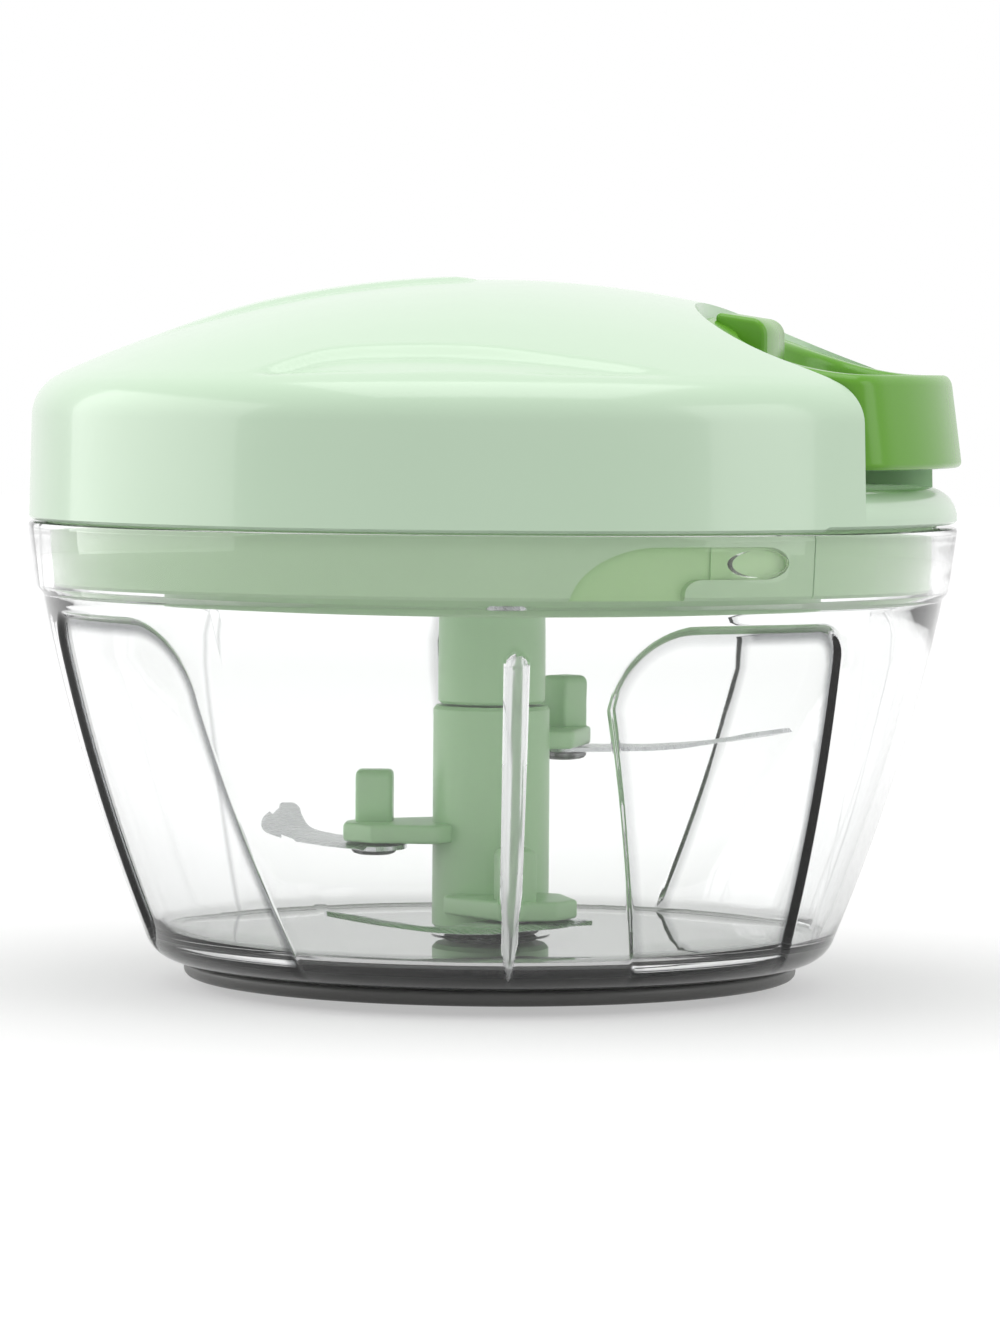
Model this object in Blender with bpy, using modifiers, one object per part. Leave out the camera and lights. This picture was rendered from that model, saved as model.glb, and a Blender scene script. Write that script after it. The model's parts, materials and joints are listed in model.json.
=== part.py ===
# Pull-cord vegetable chopper: a clear bowl on a non-slip pad, a domed lid that holds a cord drum
# with its return spring, a pull handle set into the lid, and a rotor with three blades.
#
# Metres, +Z up. The origin is on the axis at the underside of the pad. The handle pulls along +X.

import math

import bmesh
import bpy
from mathutils import Matrix, Vector

MM = 0.001

# Clearances
GAP = 0.3 * MM            # between pieces that seat on each other
RUN = 0.3 * MM            # round a turning shaft
OVER = 1.0 * MM           # how far a cutter runs past the face that it opens

# Facets round a full turn
ROUND_LARGE_COUNT = 48
ROUND_SMALL_COUNT = 20

# Pad under the bowl
PAD_R = 43.1 * MM
PAD_LIP = 1.8 * MM
PAD_FLOOR = 1.6 * MM
PAD_H = 3.5 * MM

# Bowl
BOWL_TOP_Z = 65.0 * MM
BOWL_WALL = 2.0 * MM
BOWL_RIM_R = 65.1 * MM
BOWL_BAND_H = 9.0 * MM
BOWL_BAND_DRAFT = 1.1 * MM
BOWL_BAND_STEP = 0.8 * MM
BOWL_HEEL_R = 50.0 * MM
BOWL_HEEL_Z = 10.9 * MM
BOWL_HEEL_ROUND = 5.0 * MM
BOWL_SIDE_SWELL = 1.15 * MM
BOWL_SIDE_ROWS = 6
BOWL_FLOOR_Z = 7.2 * MM
RECESS_R = 37.0 * MM
BOSS_R = 8.4 * MM
BOSS_H = 0.2 * MM

# Arched panels sunk into the bowl's outside. Each gives its middle's angle, the side of its wide
# corner, -1 for the side of the smaller angle, and how far out its edges stand from its middle:
# the wide-cornered edge under its arch and at its sill, then the other edge
PANELS = (
    (-45.0, -1, 18.0 * MM, 7.8 * MM, 18.3 * MM, 20.7 * MM),
    (45.0, 1, 20.8 * MM, 22.0 * MM, 20.5 * MM, 20.5 * MM),
    (130.0, -1, 20.5 * MM, 20.5 * MM, 20.5 * MM, 20.5 * MM),
    (-135.0, 1, 18.3 * MM, 21.6 * MM, 17.8 * MM, 15.7 * MM),
)
PANEL_CORNER = 5.0 * MM
PANEL_WIDE_CORNER = 11.0 * MM
PANEL_DEPTH = 0.7 * MM
PANEL_BELOW_BAND = 3.0 * MM
PANEL_SILL_Z = 6.5 * MM

# Slim upright ribs on the bowl's outside, opposite each other
RIB_COUNT = 2
RIB_FIRST = math.radians(-74.0)
RIB_R = 1.5 * MM
RIB_TOP_BELOW_BAND = 7.0 * MM
RIB_SILL_Z = 5.6 * MM

# Twist lock between bowl and lid
LUG_COUNT = 2
LUG_FIRST = math.radians(-43.0)
LUG_LENGTH = 9.0 * MM
LUG_H = 3.6 * MM
LUG_REACH = 1.2 * MM
LUG_BELOW_RIM = 3.6 * MM
LUG_PLAY = 0.5 * MM
TWIST = math.radians(15.0)

# Pivot pin in the bowl's floor
PIN_R = 2.1 * MM
PIN_H = 14.0 * MM
PIN_SET = 3.2 * MM

# Lid shell
LID_TOP_Z = 99.7 * MM
LID_DOME_R = 137.5 * MM
LID_WALL = 2.2 * MM
LID_SET_IN = 0.1 * MM
LID_DRAFT = 0.4 * MM
LID_CORNER = 6.5 * MM
SCREW_COUNT = 4
SCREW_SET_IN = 5.9 * MM
SCREW_FIRST = math.radians(75.0)
SCREW_STEPS = (0.0, 65.0, 145.0, 210.0)
SCREW_R = 1.4 * MM
SCREW_HEAD_R = 2.8 * MM
SCREW_HEAD_H = 1.4 * MM
SCREW_LENGTH = 9.0 * MM
POST_WALL = 1.8 * MM

# Pocket in the lid for the handle
POCKET_HALF = 29.6 * MM
POCKET_NOSE = 17.5 * MM
POCKET_FROM_EDGE = 18.0 * MM
POCKET_FLOOR_Z = 70.6 * MM

# Lid base, the plate and skirt that close the lid from below
SKIRT_PLAY = 0.5 * MM
SKIRT_WALL = 2.6 * MM
SKIRT_BELOW_SEAM = 8.4 * MM
PLATE_UP = 2.0 * MM
PLATE_WALL = 2.0 * MM
PAN_FROM_SCREWS = 7.0 * MM
PAN_DEEP = 6.0 * MM
COLLAR_WALL = 2.4 * MM
COLLAR_TOP_Z = 66.0 * MM

# Bush, drive shaft and blade carrier
BUSH_WALL = 1.2 * MM
BUSH_FLANGE = 1.4 * MM
SHAFT_R = 7.5 * MM
SHAFT_SEAM_Z = 39.6 * MM
HEX_TOP_R = 6.0 * MM
HEX_TOP_H = 10.0 * MM
HEX_END_R = 5.0 * MM
HEX_END_H = 12.0 * MM
SLEEVE_R = 8.2 * MM
SLEEVE_FOOT_Z = 8.4 * MM
WASHER_R = 6.6 * MM
WASHER_H = 0.6 * MM

# Blade arms, fingers, blades and rivets
ARM_Z = (11.0 * MM, 20.6 * MM, 33.4 * MM)
ARM_NAMES = ("lower", "middle", "upper")
ARM_TURNS = (-65.0, -169.0, 64.0)
ARM_CORNERS = (
    (8.1 * MM, -8.5 * MM), (19.0 * MM, -3.0 * MM), (20.5 * MM, 0.5 * MM), (20.5 * MM, 5.0 * MM),
    (16.4 * MM, 8.8 * MM), (7.0 * MM, 8.8 * MM),
)
ARM_THICK = 2.6 * MM
FINGER_H = 7.2 * MM
FINGER_WIDTH = 5.2 * MM
FINGER_ROUND = 1.0 * MM
FINGER_AT_R = 16.4 * MM
BLADE_THICK = 0.6 * MM

# Stations along a blade from its tail to its raised tip: how far out along its arm, how far
# across it, half width and rise
BLADE_STATIONS = (
    (16.4 * MM, 10.9 * MM, 0.9 * MM, 0.0),
    (15.6 * MM, 6.6 * MM, 3.8 * MM, 0.0),
    (17.4 * MM, 1.6 * MM, 5.4 * MM, 0.0),
    (20.8 * MM, -3.0 * MM, 5.0 * MM, 0.0),
    (25.4 * MM, -8.0 * MM, 4.0 * MM, 0.0),
    (29.6 * MM, -14.2 * MM, 3.6 * MM, 0.6 * MM),
    (31.0 * MM, -21.0 * MM, 3.1 * MM, 1.7 * MM),
    (31.4 * MM, -29.0 * MM, 0.5 * MM, 3.1 * MM),
)
BLADE_STEPS = 3
RIVET_R = 2.0 * MM
RIVET_HEAD_R = 3.4 * MM
RIVET_HEAD_H = 1.0 * MM
RIVET_SET = 2.2 * MM

# Cord drum
DRUM_R = 21.0 * MM
DRUM_CORE_R = 12.0 * MM
DRUM_FLANGE = 1.5 * MM
DRUM_GROOVE_H = 9.2 * MM
CUP_WALL = 1.6 * MM
CUP_DEEP = 10.0 * MM
DRUM_SCREW_R = 1.9 * MM
DRUM_SCREW_HEAD_R = 3.6 * MM
DRUM_SCREW_HEAD_H = 2.0 * MM
DRUM_SCREW_LENGTH = 9.0 * MM

# Return spring and the arbor that holds its inner end
ARBOR_R = 5.0 * MM
ARBOR_BOSS_WALL = 2.0 * MM
ARBOR_BOSS_H = 7.0 * MM
SPRING_TURNS = 6
SPRING_STRIP = 0.5 * MM
SPRING_WIDTH = 6.4 * MM

# Cord guide in the pocket wall
GUIDE_R = 2.8 * MM
GUIDE_BORE_R = 1.2 * MM
GUIDE_FLANGE = 1.2 * MM
GUIDE_FLANGE_R = 4.2 * MM
GUIDE_Z = 75.6 * MM

# Pull handle
HANDLE_PLAY = 0.6 * MM
HANDLE_BAND = 5.6 * MM
HANDLE_LIFT = 2.8 * MM
HANDLE_PROUD = 0.5 * MM
HANDLE_END_LEAN = 1.7 * MM
HANDLE_GRIP = 6.0 * MM
HANDLE_TOP_Z = 86.2 * MM
HANDLE_NOSE_Z = 95.0 * MM
HANDLE_FLAT = 9.6 * MM
BLOCK_LENGTH = 10.0 * MM
BLOCK_HALF = 7.5 * MM
BLOCK_EASE = 1.8 * MM
ANCHOR_R = 2.2 * MM
ANCHOR_HEAD_R = 3.4 * MM
ANCHOR_HEAD_H = 1.2 * MM
ANCHOR_BORE_R = 1.0 * MM

# Heights that follow from the sizes above
BOWL_FOOT_Z = PAD_FLOOR + GAP
BAND_Z = BOWL_TOP_Z - BOWL_BAND_H
BAND_R = BOWL_RIM_R - BOWL_BAND_DRAFT
BOWL_SHOULDER_R = BAND_R - BOWL_BAND_STEP
BOWL_INNER_R = BAND_R - BOWL_WALL
BOSS_TOP_Z = BOWL_FLOOR_Z + BOSS_H
LUG_Z = BOWL_TOP_Z - LUG_BELOW_RIM
LID_FOOT_Z = BOWL_TOP_Z + GAP
LID_FOOT_R = BOWL_RIM_R - LID_SET_IN
LID_BROW_R = LID_FOOT_R - LID_DRAFT
SKIRT_R = BOWL_INNER_R - SKIRT_PLAY
SCREW_CIRCLE_R = SKIRT_R - SKIRT_WALL - SCREW_SET_IN
PAN_R = SCREW_CIRCLE_R - PAN_FROM_SCREWS
SKIRT_FOOT_Z = BOWL_TOP_Z - SKIRT_BELOW_SEAM
PLATE_Z = SKIRT_FOOT_Z + PLATE_UP
PAN_Z = PLATE_Z - PAN_DEEP
BUSH_BORE_R = SHAFT_R + RUN
BUSH_R = BUSH_BORE_R + BUSH_WALL
COLLAR_BORE_R = BUSH_R + GAP
DRUM_Z = COLLAR_TOP_Z + GAP
GROOVE_Z = DRUM_Z + DRUM_FLANGE
GROOVE_TOP_Z = GROOVE_Z + DRUM_GROOVE_H
CUP_FLOOR_Z = GROOVE_TOP_Z + DRUM_FLANGE
CUP_TOP_Z = CUP_FLOOR_Z + CUP_DEEP
HEX_TOP_Z = COLLAR_TOP_Z + HEX_TOP_H
ARBOR_FOOT_Z = CUP_FLOOR_Z + DRUM_SCREW_HEAD_H + 2 * GAP
LID_INNER_TOP_Z = LID_TOP_Z - LID_WALL
HANDLE_FOOT_Z = POCKET_FLOOR_Z + HANDLE_LIFT
POCKET_CENTRE_X = LID_FOOT_R - POCKET_FROM_EDGE
POCKET_NOSE_X = POCKET_CENTRE_X - POCKET_NOSE
HANDLE_END_R = BOWL_RIM_R + HANDLE_PROUD
HANDLE_FLAT_FROM_X = HANDLE_END_R - HANDLE_FLAT
HANDLE_NOSE_X = POCKET_NOSE_X + HANDLE_PLAY


def clear_scene():
    for old in list(bpy.data.objects):
        bpy.data.objects.remove(old, do_unlink=True)


def new_collection(name):
    made = bpy.data.collections.new(name)
    bpy.context.scene.collection.children.link(made)
    return made


def material(name, colour, roughness, metallic=0.0, alpha=1.0):
    made = bpy.data.materials.new(name)
    made.use_nodes = True
    shader = made.node_tree.nodes["Principled BSDF"]
    shader.inputs["Base Color"].default_value = (*colour, 1.0)
    shader.inputs["Roughness"].default_value = roughness
    shader.inputs["Metallic"].default_value = metallic
    shader.inputs["Alpha"].default_value = alpha
    made.diffuse_color = (*colour, alpha)
    return made


def add_object(name, mesh, finish=None, holder=None):
    made = bpy.data.objects.new(name, mesh)
    if finish is None:
        CUTTERS.objects.link(made)
        made.hide_render = True
        made.display_type = "WIRE"
        return made
    PARTS.objects.link(made)
    mesh.materials.append(finish)
    if holder is not None:
        made.parent = holder
    return made


def pivot(name, place):
    made = bpy.data.objects.new(name, None)
    made.empty_display_size = 0.01
    made.location = place
    PARTS.objects.link(made)
    return made


def mesh_from(bm, name):
    bmesh.ops.recalc_face_normals(bm, faces=bm.faces)
    made = bpy.data.meshes.new(name)
    bm.to_mesh(made)
    bm.free()
    made.shade_smooth()
    made.set_sharp_from_angle(angle=math.radians(35.0))
    return made


def turned_mesh(name, profile, closed):
    made = bpy.data.meshes.new(name)
    count = len(profile)
    edges = [(i, i + 1) for i in range(count - 1)]
    if closed:
        edges.append((count - 1, 0))
    made.from_pydata([(r, 0.0, z) for r, z in profile], edges, [])
    return made


def turned(name, profile, steps, finish=None, holder=None, closed=True):
    made = add_object(name, turned_mesh(name, profile, closed), finish, holder)
    screw = made.modifiers.new("turn", "SCREW")
    screw.steps = steps
    screw.render_steps = steps
    screw.use_merge_vertices = True
    screw.merge_threshold = 0.00002
    screw.use_smooth_shade = True
    return made


def cylinder_mesh(name, radius, low, high, facets=ROUND_SMALL_COUNT, turn=0.0, top_radius=None):
    bm = bmesh.new()
    top = radius if top_radius is None else top_radius
    spin = Matrix.Rotation(turn, 4, "Z")
    place = Matrix.Translation((0.0, 0.0, (low + high) / 2)) @ spin
    bmesh.ops.create_cone(bm, cap_ends=True, segments=facets, radius1=radius, radius2=top,
                          depth=high - low, matrix=place)
    return mesh_from(bm, name)


def cylinder(name, radius, low, high, finish=None, holder=None, **more):
    return add_object(name, cylinder_mesh(name, radius, low, high, **more), finish, holder)


def box(name, low, high, finish=None, holder=None):
    bm = bmesh.new()
    low = Vector(low)
    high = Vector(high)
    size = high - low
    place = Matrix.Translation((low + high) / 2) @ Matrix.Diagonal((*size, 1.0))
    bmesh.ops.create_cube(bm, size=1.0, matrix=place)
    return add_object(name, mesh_from(bm, name), finish, holder)


def flat_mesh(name, outline, low, high):
    """A flat outline given thickness from low to high along Z, as a closed mesh."""
    curve = bpy.data.curves.new(name, "CURVE")
    curve.dimensions = "2D"
    curve.fill_mode = "BOTH"
    curve.extrude = (high - low) / 2
    spline = curve.splines.new("POLY")
    spline.points.add(len(outline) - 1)
    for point, (x, y) in zip(spline.points, outline):
        point.co = (x, y, 0.0, 1.0)
    spline.use_cyclic_u = True
    guide = bpy.data.objects.new(name + "_outline", curve)
    CUTTERS.objects.link(guide)
    bpy.context.view_layer.update()
    graph = bpy.context.evaluated_depsgraph_get()
    flat = bpy.data.meshes.new_from_object(guide.evaluated_get(graph))
    bpy.data.objects.remove(guide)
    bm = bmesh.new()
    bm.from_mesh(flat)
    bmesh.ops.remove_doubles(bm, verts=bm.verts, dist=0.000002)
    bmesh.ops.translate(bm, verts=bm.verts, vec=(0.0, 0.0, (low + high) / 2))
    return mesh_from(bm, name)


def flat(name, outline, low, high, finish=None, holder=None):
    return add_object(name, flat_mesh(name, outline, low, high), finish, holder)


def sector(name, inner, outer, low, high, first, last, steps=6):
    """A piece of a ring, from angle first to angle last, as a closed cutter."""
    bm = bmesh.new()
    corners = [(inner, low), (outer, low), (outer, high), (inner, high)]
    start = [bm.verts.new((r * math.cos(first), r * math.sin(first), z)) for r, z in corners]
    face = bm.faces.new(start)
    bmesh.ops.spin(bm, geom=[face, *face.edges, *face.verts], axis=(0, 0, 1), cent=(0, 0, 0),
                   angle=last - first, steps=steps, use_duplicate=False)
    return add_object(name, mesh_from(bm, name))


def combine(piece, other, how):
    change = piece.modifiers.new(other.name, "BOOLEAN")
    change.operation = how
    change.object = other
    change.solver = "EXACT"


def cut(piece, *cutters):
    for cutter in cutters:
        combine(piece, cutter, "DIFFERENCE")


def join(piece, *others):
    for other in others:
        combine(piece, other, "UNION")


def keep(piece, *others):
    for other in others:
        combine(piece, other, "INTERSECT")


def arc(centre, radius, start, end, steps):
    """Points on an arc in the profile's plane, both ends included, angles in degrees."""
    points = []
    for i in range(steps + 1):
        angle = math.radians(start + (end - start) * i / steps)
        points.append((centre[0] + radius * math.cos(angle), centre[1] + radius * math.sin(angle)))
    return points


def rounded(before, corner, after, radius, steps=4):
    """The corner between two straight runs, replaced by an arc of the given radius."""
    p = Vector(corner)
    a = (Vector(before) - p).normalized()
    b = (Vector(after) - p).normalized()
    half = a.angle(b) / 2
    reach = radius / math.tan(half)
    centre = p + (a + b).normalized() * radius / math.sin(half)
    first = p + a * reach - centre
    last = p + b * reach - centre
    turn = first.angle_signed(last)
    points = []
    for i in range(steps + 1):
        step = first.copy()
        step.rotate(Matrix.Rotation(-turn * i / steps, 2))
        points.append(tuple(centre + step))
    return points


def turn_about_axis(piece, angle):
    piece.rotation_euler = (0.0, 0.0, angle)


def dome_z(r, drop=0.0):
    """Height of the lid's dome at radius r, or of a dome a drop inside it."""
    radius = LID_DOME_R - drop
    return LID_TOP_Z - LID_DOME_R + math.sqrt(radius * radius - r * r)


def dome_points(outer_r, drop, steps):
    return [(outer_r * i / steps, dome_z(outer_r * i / steps, drop)) for i in range(steps + 1)]


def side_r(z):
    """Outer radius of the bowl's swelling side at height z."""
    share = (z - BOWL_HEEL_Z) / (BAND_Z - BOWL_BAND_STEP - BOWL_HEEL_Z)
    line = BOWL_HEEL_R + (BOWL_SHOULDER_R - BOWL_HEEL_R) * share
    return line + BOWL_SIDE_SWELL * 4.0 * share * (1.0 - share)


def side_points(inset):
    """Points down the bowl's side from its shoulder to its heel, moved in by inset."""
    shoulder_z = BAND_Z - BOWL_BAND_STEP
    levels = [shoulder_z + (BOWL_HEEL_Z - shoulder_z) * i / BOWL_SIDE_ROWS
              for i in range(BOWL_SIDE_ROWS + 1)]
    return [(side_r(z) - inset, z) for z in levels]


def bowl_profile(inset, foot_r, foot_z):
    """The bowl's side from the rim down to its foot, moved in by the wall for the inside."""
    rim = (BOWL_RIM_R - inset, BOWL_TOP_Z)
    band = (BAND_R - inset, BAND_Z)
    side = side_points(inset)
    above, heel = side[-2:]
    slope = (above[0] - heel[0]) / (above[1] - heel[1])
    corner = (heel[0] - slope * (heel[1] - foot_z), foot_z)
    round_r = BOWL_HEEL_ROUND - inset
    heel_round = rounded(above, corner, (foot_r, foot_z), round_r)
    return [rim, band, *side[:-1], *heel_round]


def bowl_outside():
    """Points down the bowl's outside, from its rim to the step above its foot."""
    return bowl_profile(0.0, PAD_R - PAD_LIP - GAP, PAD_H + GAP)


def skin_r(z):
    """Outer radius of the bowl at height z, its rounded heel included."""
    points = bowl_outside()
    for (upper_r, upper_z), (lower_r, lower_z) in zip(points, points[1:]):
        if lower_z <= z <= upper_z:
            share = (z - lower_z) / (upper_z - lower_z)
            return lower_r + (upper_r - lower_r) * share
    return points[-1][0]


def make_pad():
    pad_inner = PAD_R - PAD_LIP
    profile = [
        (0.0, PAD_FLOOR), (pad_inner, PAD_FLOOR), (pad_inner, PAD_H),
        (PAD_R, PAD_H), (PAD_R, 0.0), (0.0, 0.0),
    ]
    turned("base_pad", profile, ROUND_LARGE_COUNT, GREY_RUBBER, closed=False)


def panel_cutter(index):
    """The sunk part of one panel: an arched prism, kept only in the outer skin of the wall."""
    name = f"panel_{index + 1}"
    turn, wide_side, wide_top, wide_foot, narrow_top, narrow_foot = PANELS[index]
    top = BAND_Z - PANEL_BELOW_BAND
    wide_centre = (wide_top - PANEL_WIDE_CORNER, top - PANEL_WIDE_CORNER)
    wide = arc(wide_centre, PANEL_WIDE_CORNER, 90.0, 0.0, 5)
    narrow = arc((PANEL_CORNER - narrow_top, top - PANEL_CORNER), PANEL_CORNER, 180.0, 90.0, 3)
    outline = [(wide_foot, PANEL_SILL_Z), (-narrow_foot, PANEL_SILL_Z), *narrow, *wide]
    if wide_side < 0:
        outline = [(-across, height) for across, height in outline]
    else:
        outline.reverse()
    prism = flat(name, outline, BOSS_R, BOWL_RIM_R + OVER)
    upright = Matrix(((0, 0, 1), (1, 0, 0), (0, 1, 0)))
    prism.data.transform(upright.to_4x4())
    foot = [(side_r(0.0), 0.0)]
    outer = [(r + OVER, z) for r, z in side_points(0.0) + foot]
    inner = [(r - PANEL_DEPTH, z) for r, z in side_points(0.0) + foot]
    skin = turned(name + "_skin", [*outer, *reversed(inner)], ROUND_LARGE_COUNT)
    turn_about_axis(prism, math.radians(turn))
    keep(prism, skin)
    return prism


def make_rib(index):
    """A slim upright rib that stands half out of the bowl's side and tapers to both ends."""
    name = f"bowl_rib_{index + 1}"
    top = BAND_Z - RIB_TOP_BELOW_BAND
    curve = bpy.data.curves.new(name, "CURVE")
    curve.dimensions = "3D"
    curve.bevel_depth = RIB_R
    curve.bevel_resolution = 2
    curve.use_fill_caps = True
    spline = curve.splines.new("POLY")
    count = 7
    spline.points.add(count - 1)
    for i, point in enumerate(spline.points):
        share = i / (count - 1)
        z = RIB_SILL_Z + (top - RIB_SILL_Z) * share
        point.co = (skin_r(z) - BOWL_WALL / 2, 0.0, z, 1.0)
        point.radius = 0.35 + 0.65 * math.sin(math.pi * min(max(share, 0.12), 0.88))
    guide = bpy.data.objects.new(name + "_line", curve)
    CUTTERS.objects.link(guide)
    bpy.context.view_layer.update()
    graph = bpy.context.evaluated_depsgraph_get()
    mesh = bpy.data.meshes.new_from_object(guide.evaluated_get(graph))
    bpy.data.objects.remove(guide)
    bm = bmesh.new()
    bm.from_mesh(mesh)
    bmesh.ops.remove_doubles(bm, verts=bm.verts, dist=0.000002)
    made = add_object(name, mesh_from(bm, name))
    turn_about_axis(made, RIB_FIRST + index * math.tau / RIB_COUNT)
    return made


def lug(index):
    """An oval lug on the inside of the bowl's rim, which runs in the lid's track."""
    name = f"lug_{index + 1}"
    inner = BOWL_INNER_R - LUG_REACH
    outer = BOWL_RIM_R - BOWL_WALL / 2
    mesh = cylinder_mesh(name, 1.0, inner, outer, facets=16)
    mesh.transform(Matrix.Diagonal((LUG_H / 2, LUG_LENGTH / 2, 1.0, 1.0)))
    mesh.transform(Matrix.Rotation(math.radians(90.0), 4, "Y"))
    made = add_object(name, mesh)
    made.location = (0.0, 0.0, LUG_Z)
    turn_about_axis(made, LUG_FIRST + index * math.tau / LUG_COUNT)
    return made


def make_bowl():
    foot_r = PAD_R - PAD_LIP - GAP
    step_z = PAD_H + GAP
    outside = bowl_outside()
    inside = bowl_profile(BOWL_WALL, foot_r - BOWL_WALL, BOWL_FLOOR_Z)
    bore_r = PIN_R + GAP
    bore_z = BOSS_TOP_Z - PIN_SET
    recess_z = BOWL_FLOOR_Z - BOWL_WALL
    profile = [
        *outside,
        (foot_r, step_z), (foot_r, BOWL_FOOT_Z), (RECESS_R, BOWL_FOOT_Z), (RECESS_R, recess_z),
        (BOSS_R, recess_z), (BOSS_R, BOWL_FOOT_Z), (0.0, BOWL_FOOT_Z),
        (0.0, bore_z), (bore_r, bore_z), (bore_r, BOSS_TOP_Z),
        (BOSS_R, BOSS_TOP_Z), (BOSS_R, BOWL_FLOOR_Z),
        *reversed(inside),
    ]
    bowl = turned("bowl", profile, ROUND_LARGE_COUNT, CLEAR_PLASTIC)
    for i in range(len(PANELS)):
        cut(bowl, panel_cutter(i))
    for i in range(RIB_COUNT):
        join(bowl, make_rib(i))
    for i in range(LUG_COUNT):
        join(bowl, lug(i))


def make_pivot_pin():
    low = BOSS_TOP_Z - PIN_SET + GAP
    pin = cylinder("pivot_pin", PIN_R, low, low + PIN_H, STEEL, facets=16)
    ease = pin.modifiers.new("ease", "BEVEL")
    ease.width = 0.4 * MM
    ease.segments = 1
    ease.limit_method = "ANGLE"


def pocket_outline(inset, end_x):
    """Plan of the pocket, or of a ring inside it: a half ellipse with straight sides to end_x."""
    half = POCKET_HALF - inset
    nose = POCKET_NOSE - inset
    points = [(end_x, -half)]
    for i in range(13):
        angle = math.radians(-90.0 - 180.0 * i / 12)
        points.append((POCKET_CENTRE_X + nose * math.cos(angle), half * math.sin(angle)))
    points.append((end_x, half))
    return list(reversed(points))


def lid_solid(name, inset, foot_z, finish=None, holder=None):
    """The solid under the lid's outside, or under its inside when inset by the wall."""
    brow_r = LID_BROW_R - inset
    dome = dome_points(brow_r, inset, 9)
    corner = dome[-1]
    foot = (LID_FOOT_R - inset, foot_z)
    reach = dome_z(brow_r - LID_CORNER, inset)
    brow = rounded((brow_r - LID_CORNER, reach), corner, foot, LID_CORNER - inset, steps=4)
    top = [point for point in dome if point[0] < brow[0][0] - 0.5 * MM]
    profile = [*top, *brow, foot, (0.0, foot_z)]
    return turned(name, profile, ROUND_LARGE_COUNT, finish, holder, closed=False)


def screw_angles():
    return [SCREW_FIRST + math.radians(step) for step in SCREW_STEPS[:SCREW_COUNT]]


def make_lid_shell():
    shell = lid_solid("lid_shell", 0.0, LID_FOOT_Z, MINT, LID)
    far_x = LID_FOOT_R + 10 * OVER
    top_z = LID_TOP_Z + OVER
    pocket = flat("pocket", pocket_outline(0.0, far_x), POCKET_FLOOR_Z, top_z)
    hollow = lid_solid("lid_hollow", LID_WALL, LID_FOOT_Z - OVER)
    sheath_floor = POCKET_FLOOR_Z - LID_WALL
    sheath = flat("pocket_sheath", pocket_outline(-LID_WALL, far_x), sheath_floor, top_z)
    cut(hollow, sheath)
    cut(shell, hollow, pocket)
    post_z = PLATE_Z + PLATE_WALL + GAP
    for i, angle in enumerate(screw_angles()):
        x = SCREW_CIRCLE_R * math.cos(angle)
        y = SCREW_CIRCLE_R * math.sin(angle)
        post_r = SCREW_R + POST_WALL
        top = dome_z(SCREW_CIRCLE_R + post_r) - LID_WALL / 2
        post = cylinder(f"post_{i + 1}", post_r, post_z, top, facets=12)
        hole = cylinder(f"post_hole_{i + 1}", SCREW_R + GAP, post_z - OVER,
                        post_z + SCREW_LENGTH, facets=12)
        post.location = (x, y, 0.0)
        hole.location = (x, y, 0.0)
        join(shell, post)
        cut(shell, hole)
    boss_r = ARBOR_R + GAP + ARBOR_BOSS_WALL
    boss = cylinder("arbor_boss", boss_r, LID_INNER_TOP_Z - ARBOR_BOSS_H,
                    LID_INNER_TOP_Z + LID_WALL / 2)
    boss_hole = cylinder("arbor_boss_hole", ARBOR_R + GAP, LID_INNER_TOP_Z - ARBOR_BOSS_H - OVER,
                         LID_INNER_TOP_Z)
    join(shell, boss)
    cut(shell, boss_hole)
    guide_hole = cylinder("guide_hole", GUIDE_R + GAP, POCKET_NOSE_X - LID_WALL - OVER,
                          POCKET_NOSE_X + OVER, facets=16)
    guide_hole.data.transform(Matrix.Rotation(math.radians(90.0), 4, "Y"))
    guide_hole.location = (0.0, 0.0, GUIDE_Z)
    cut(shell, guide_hole)


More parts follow.
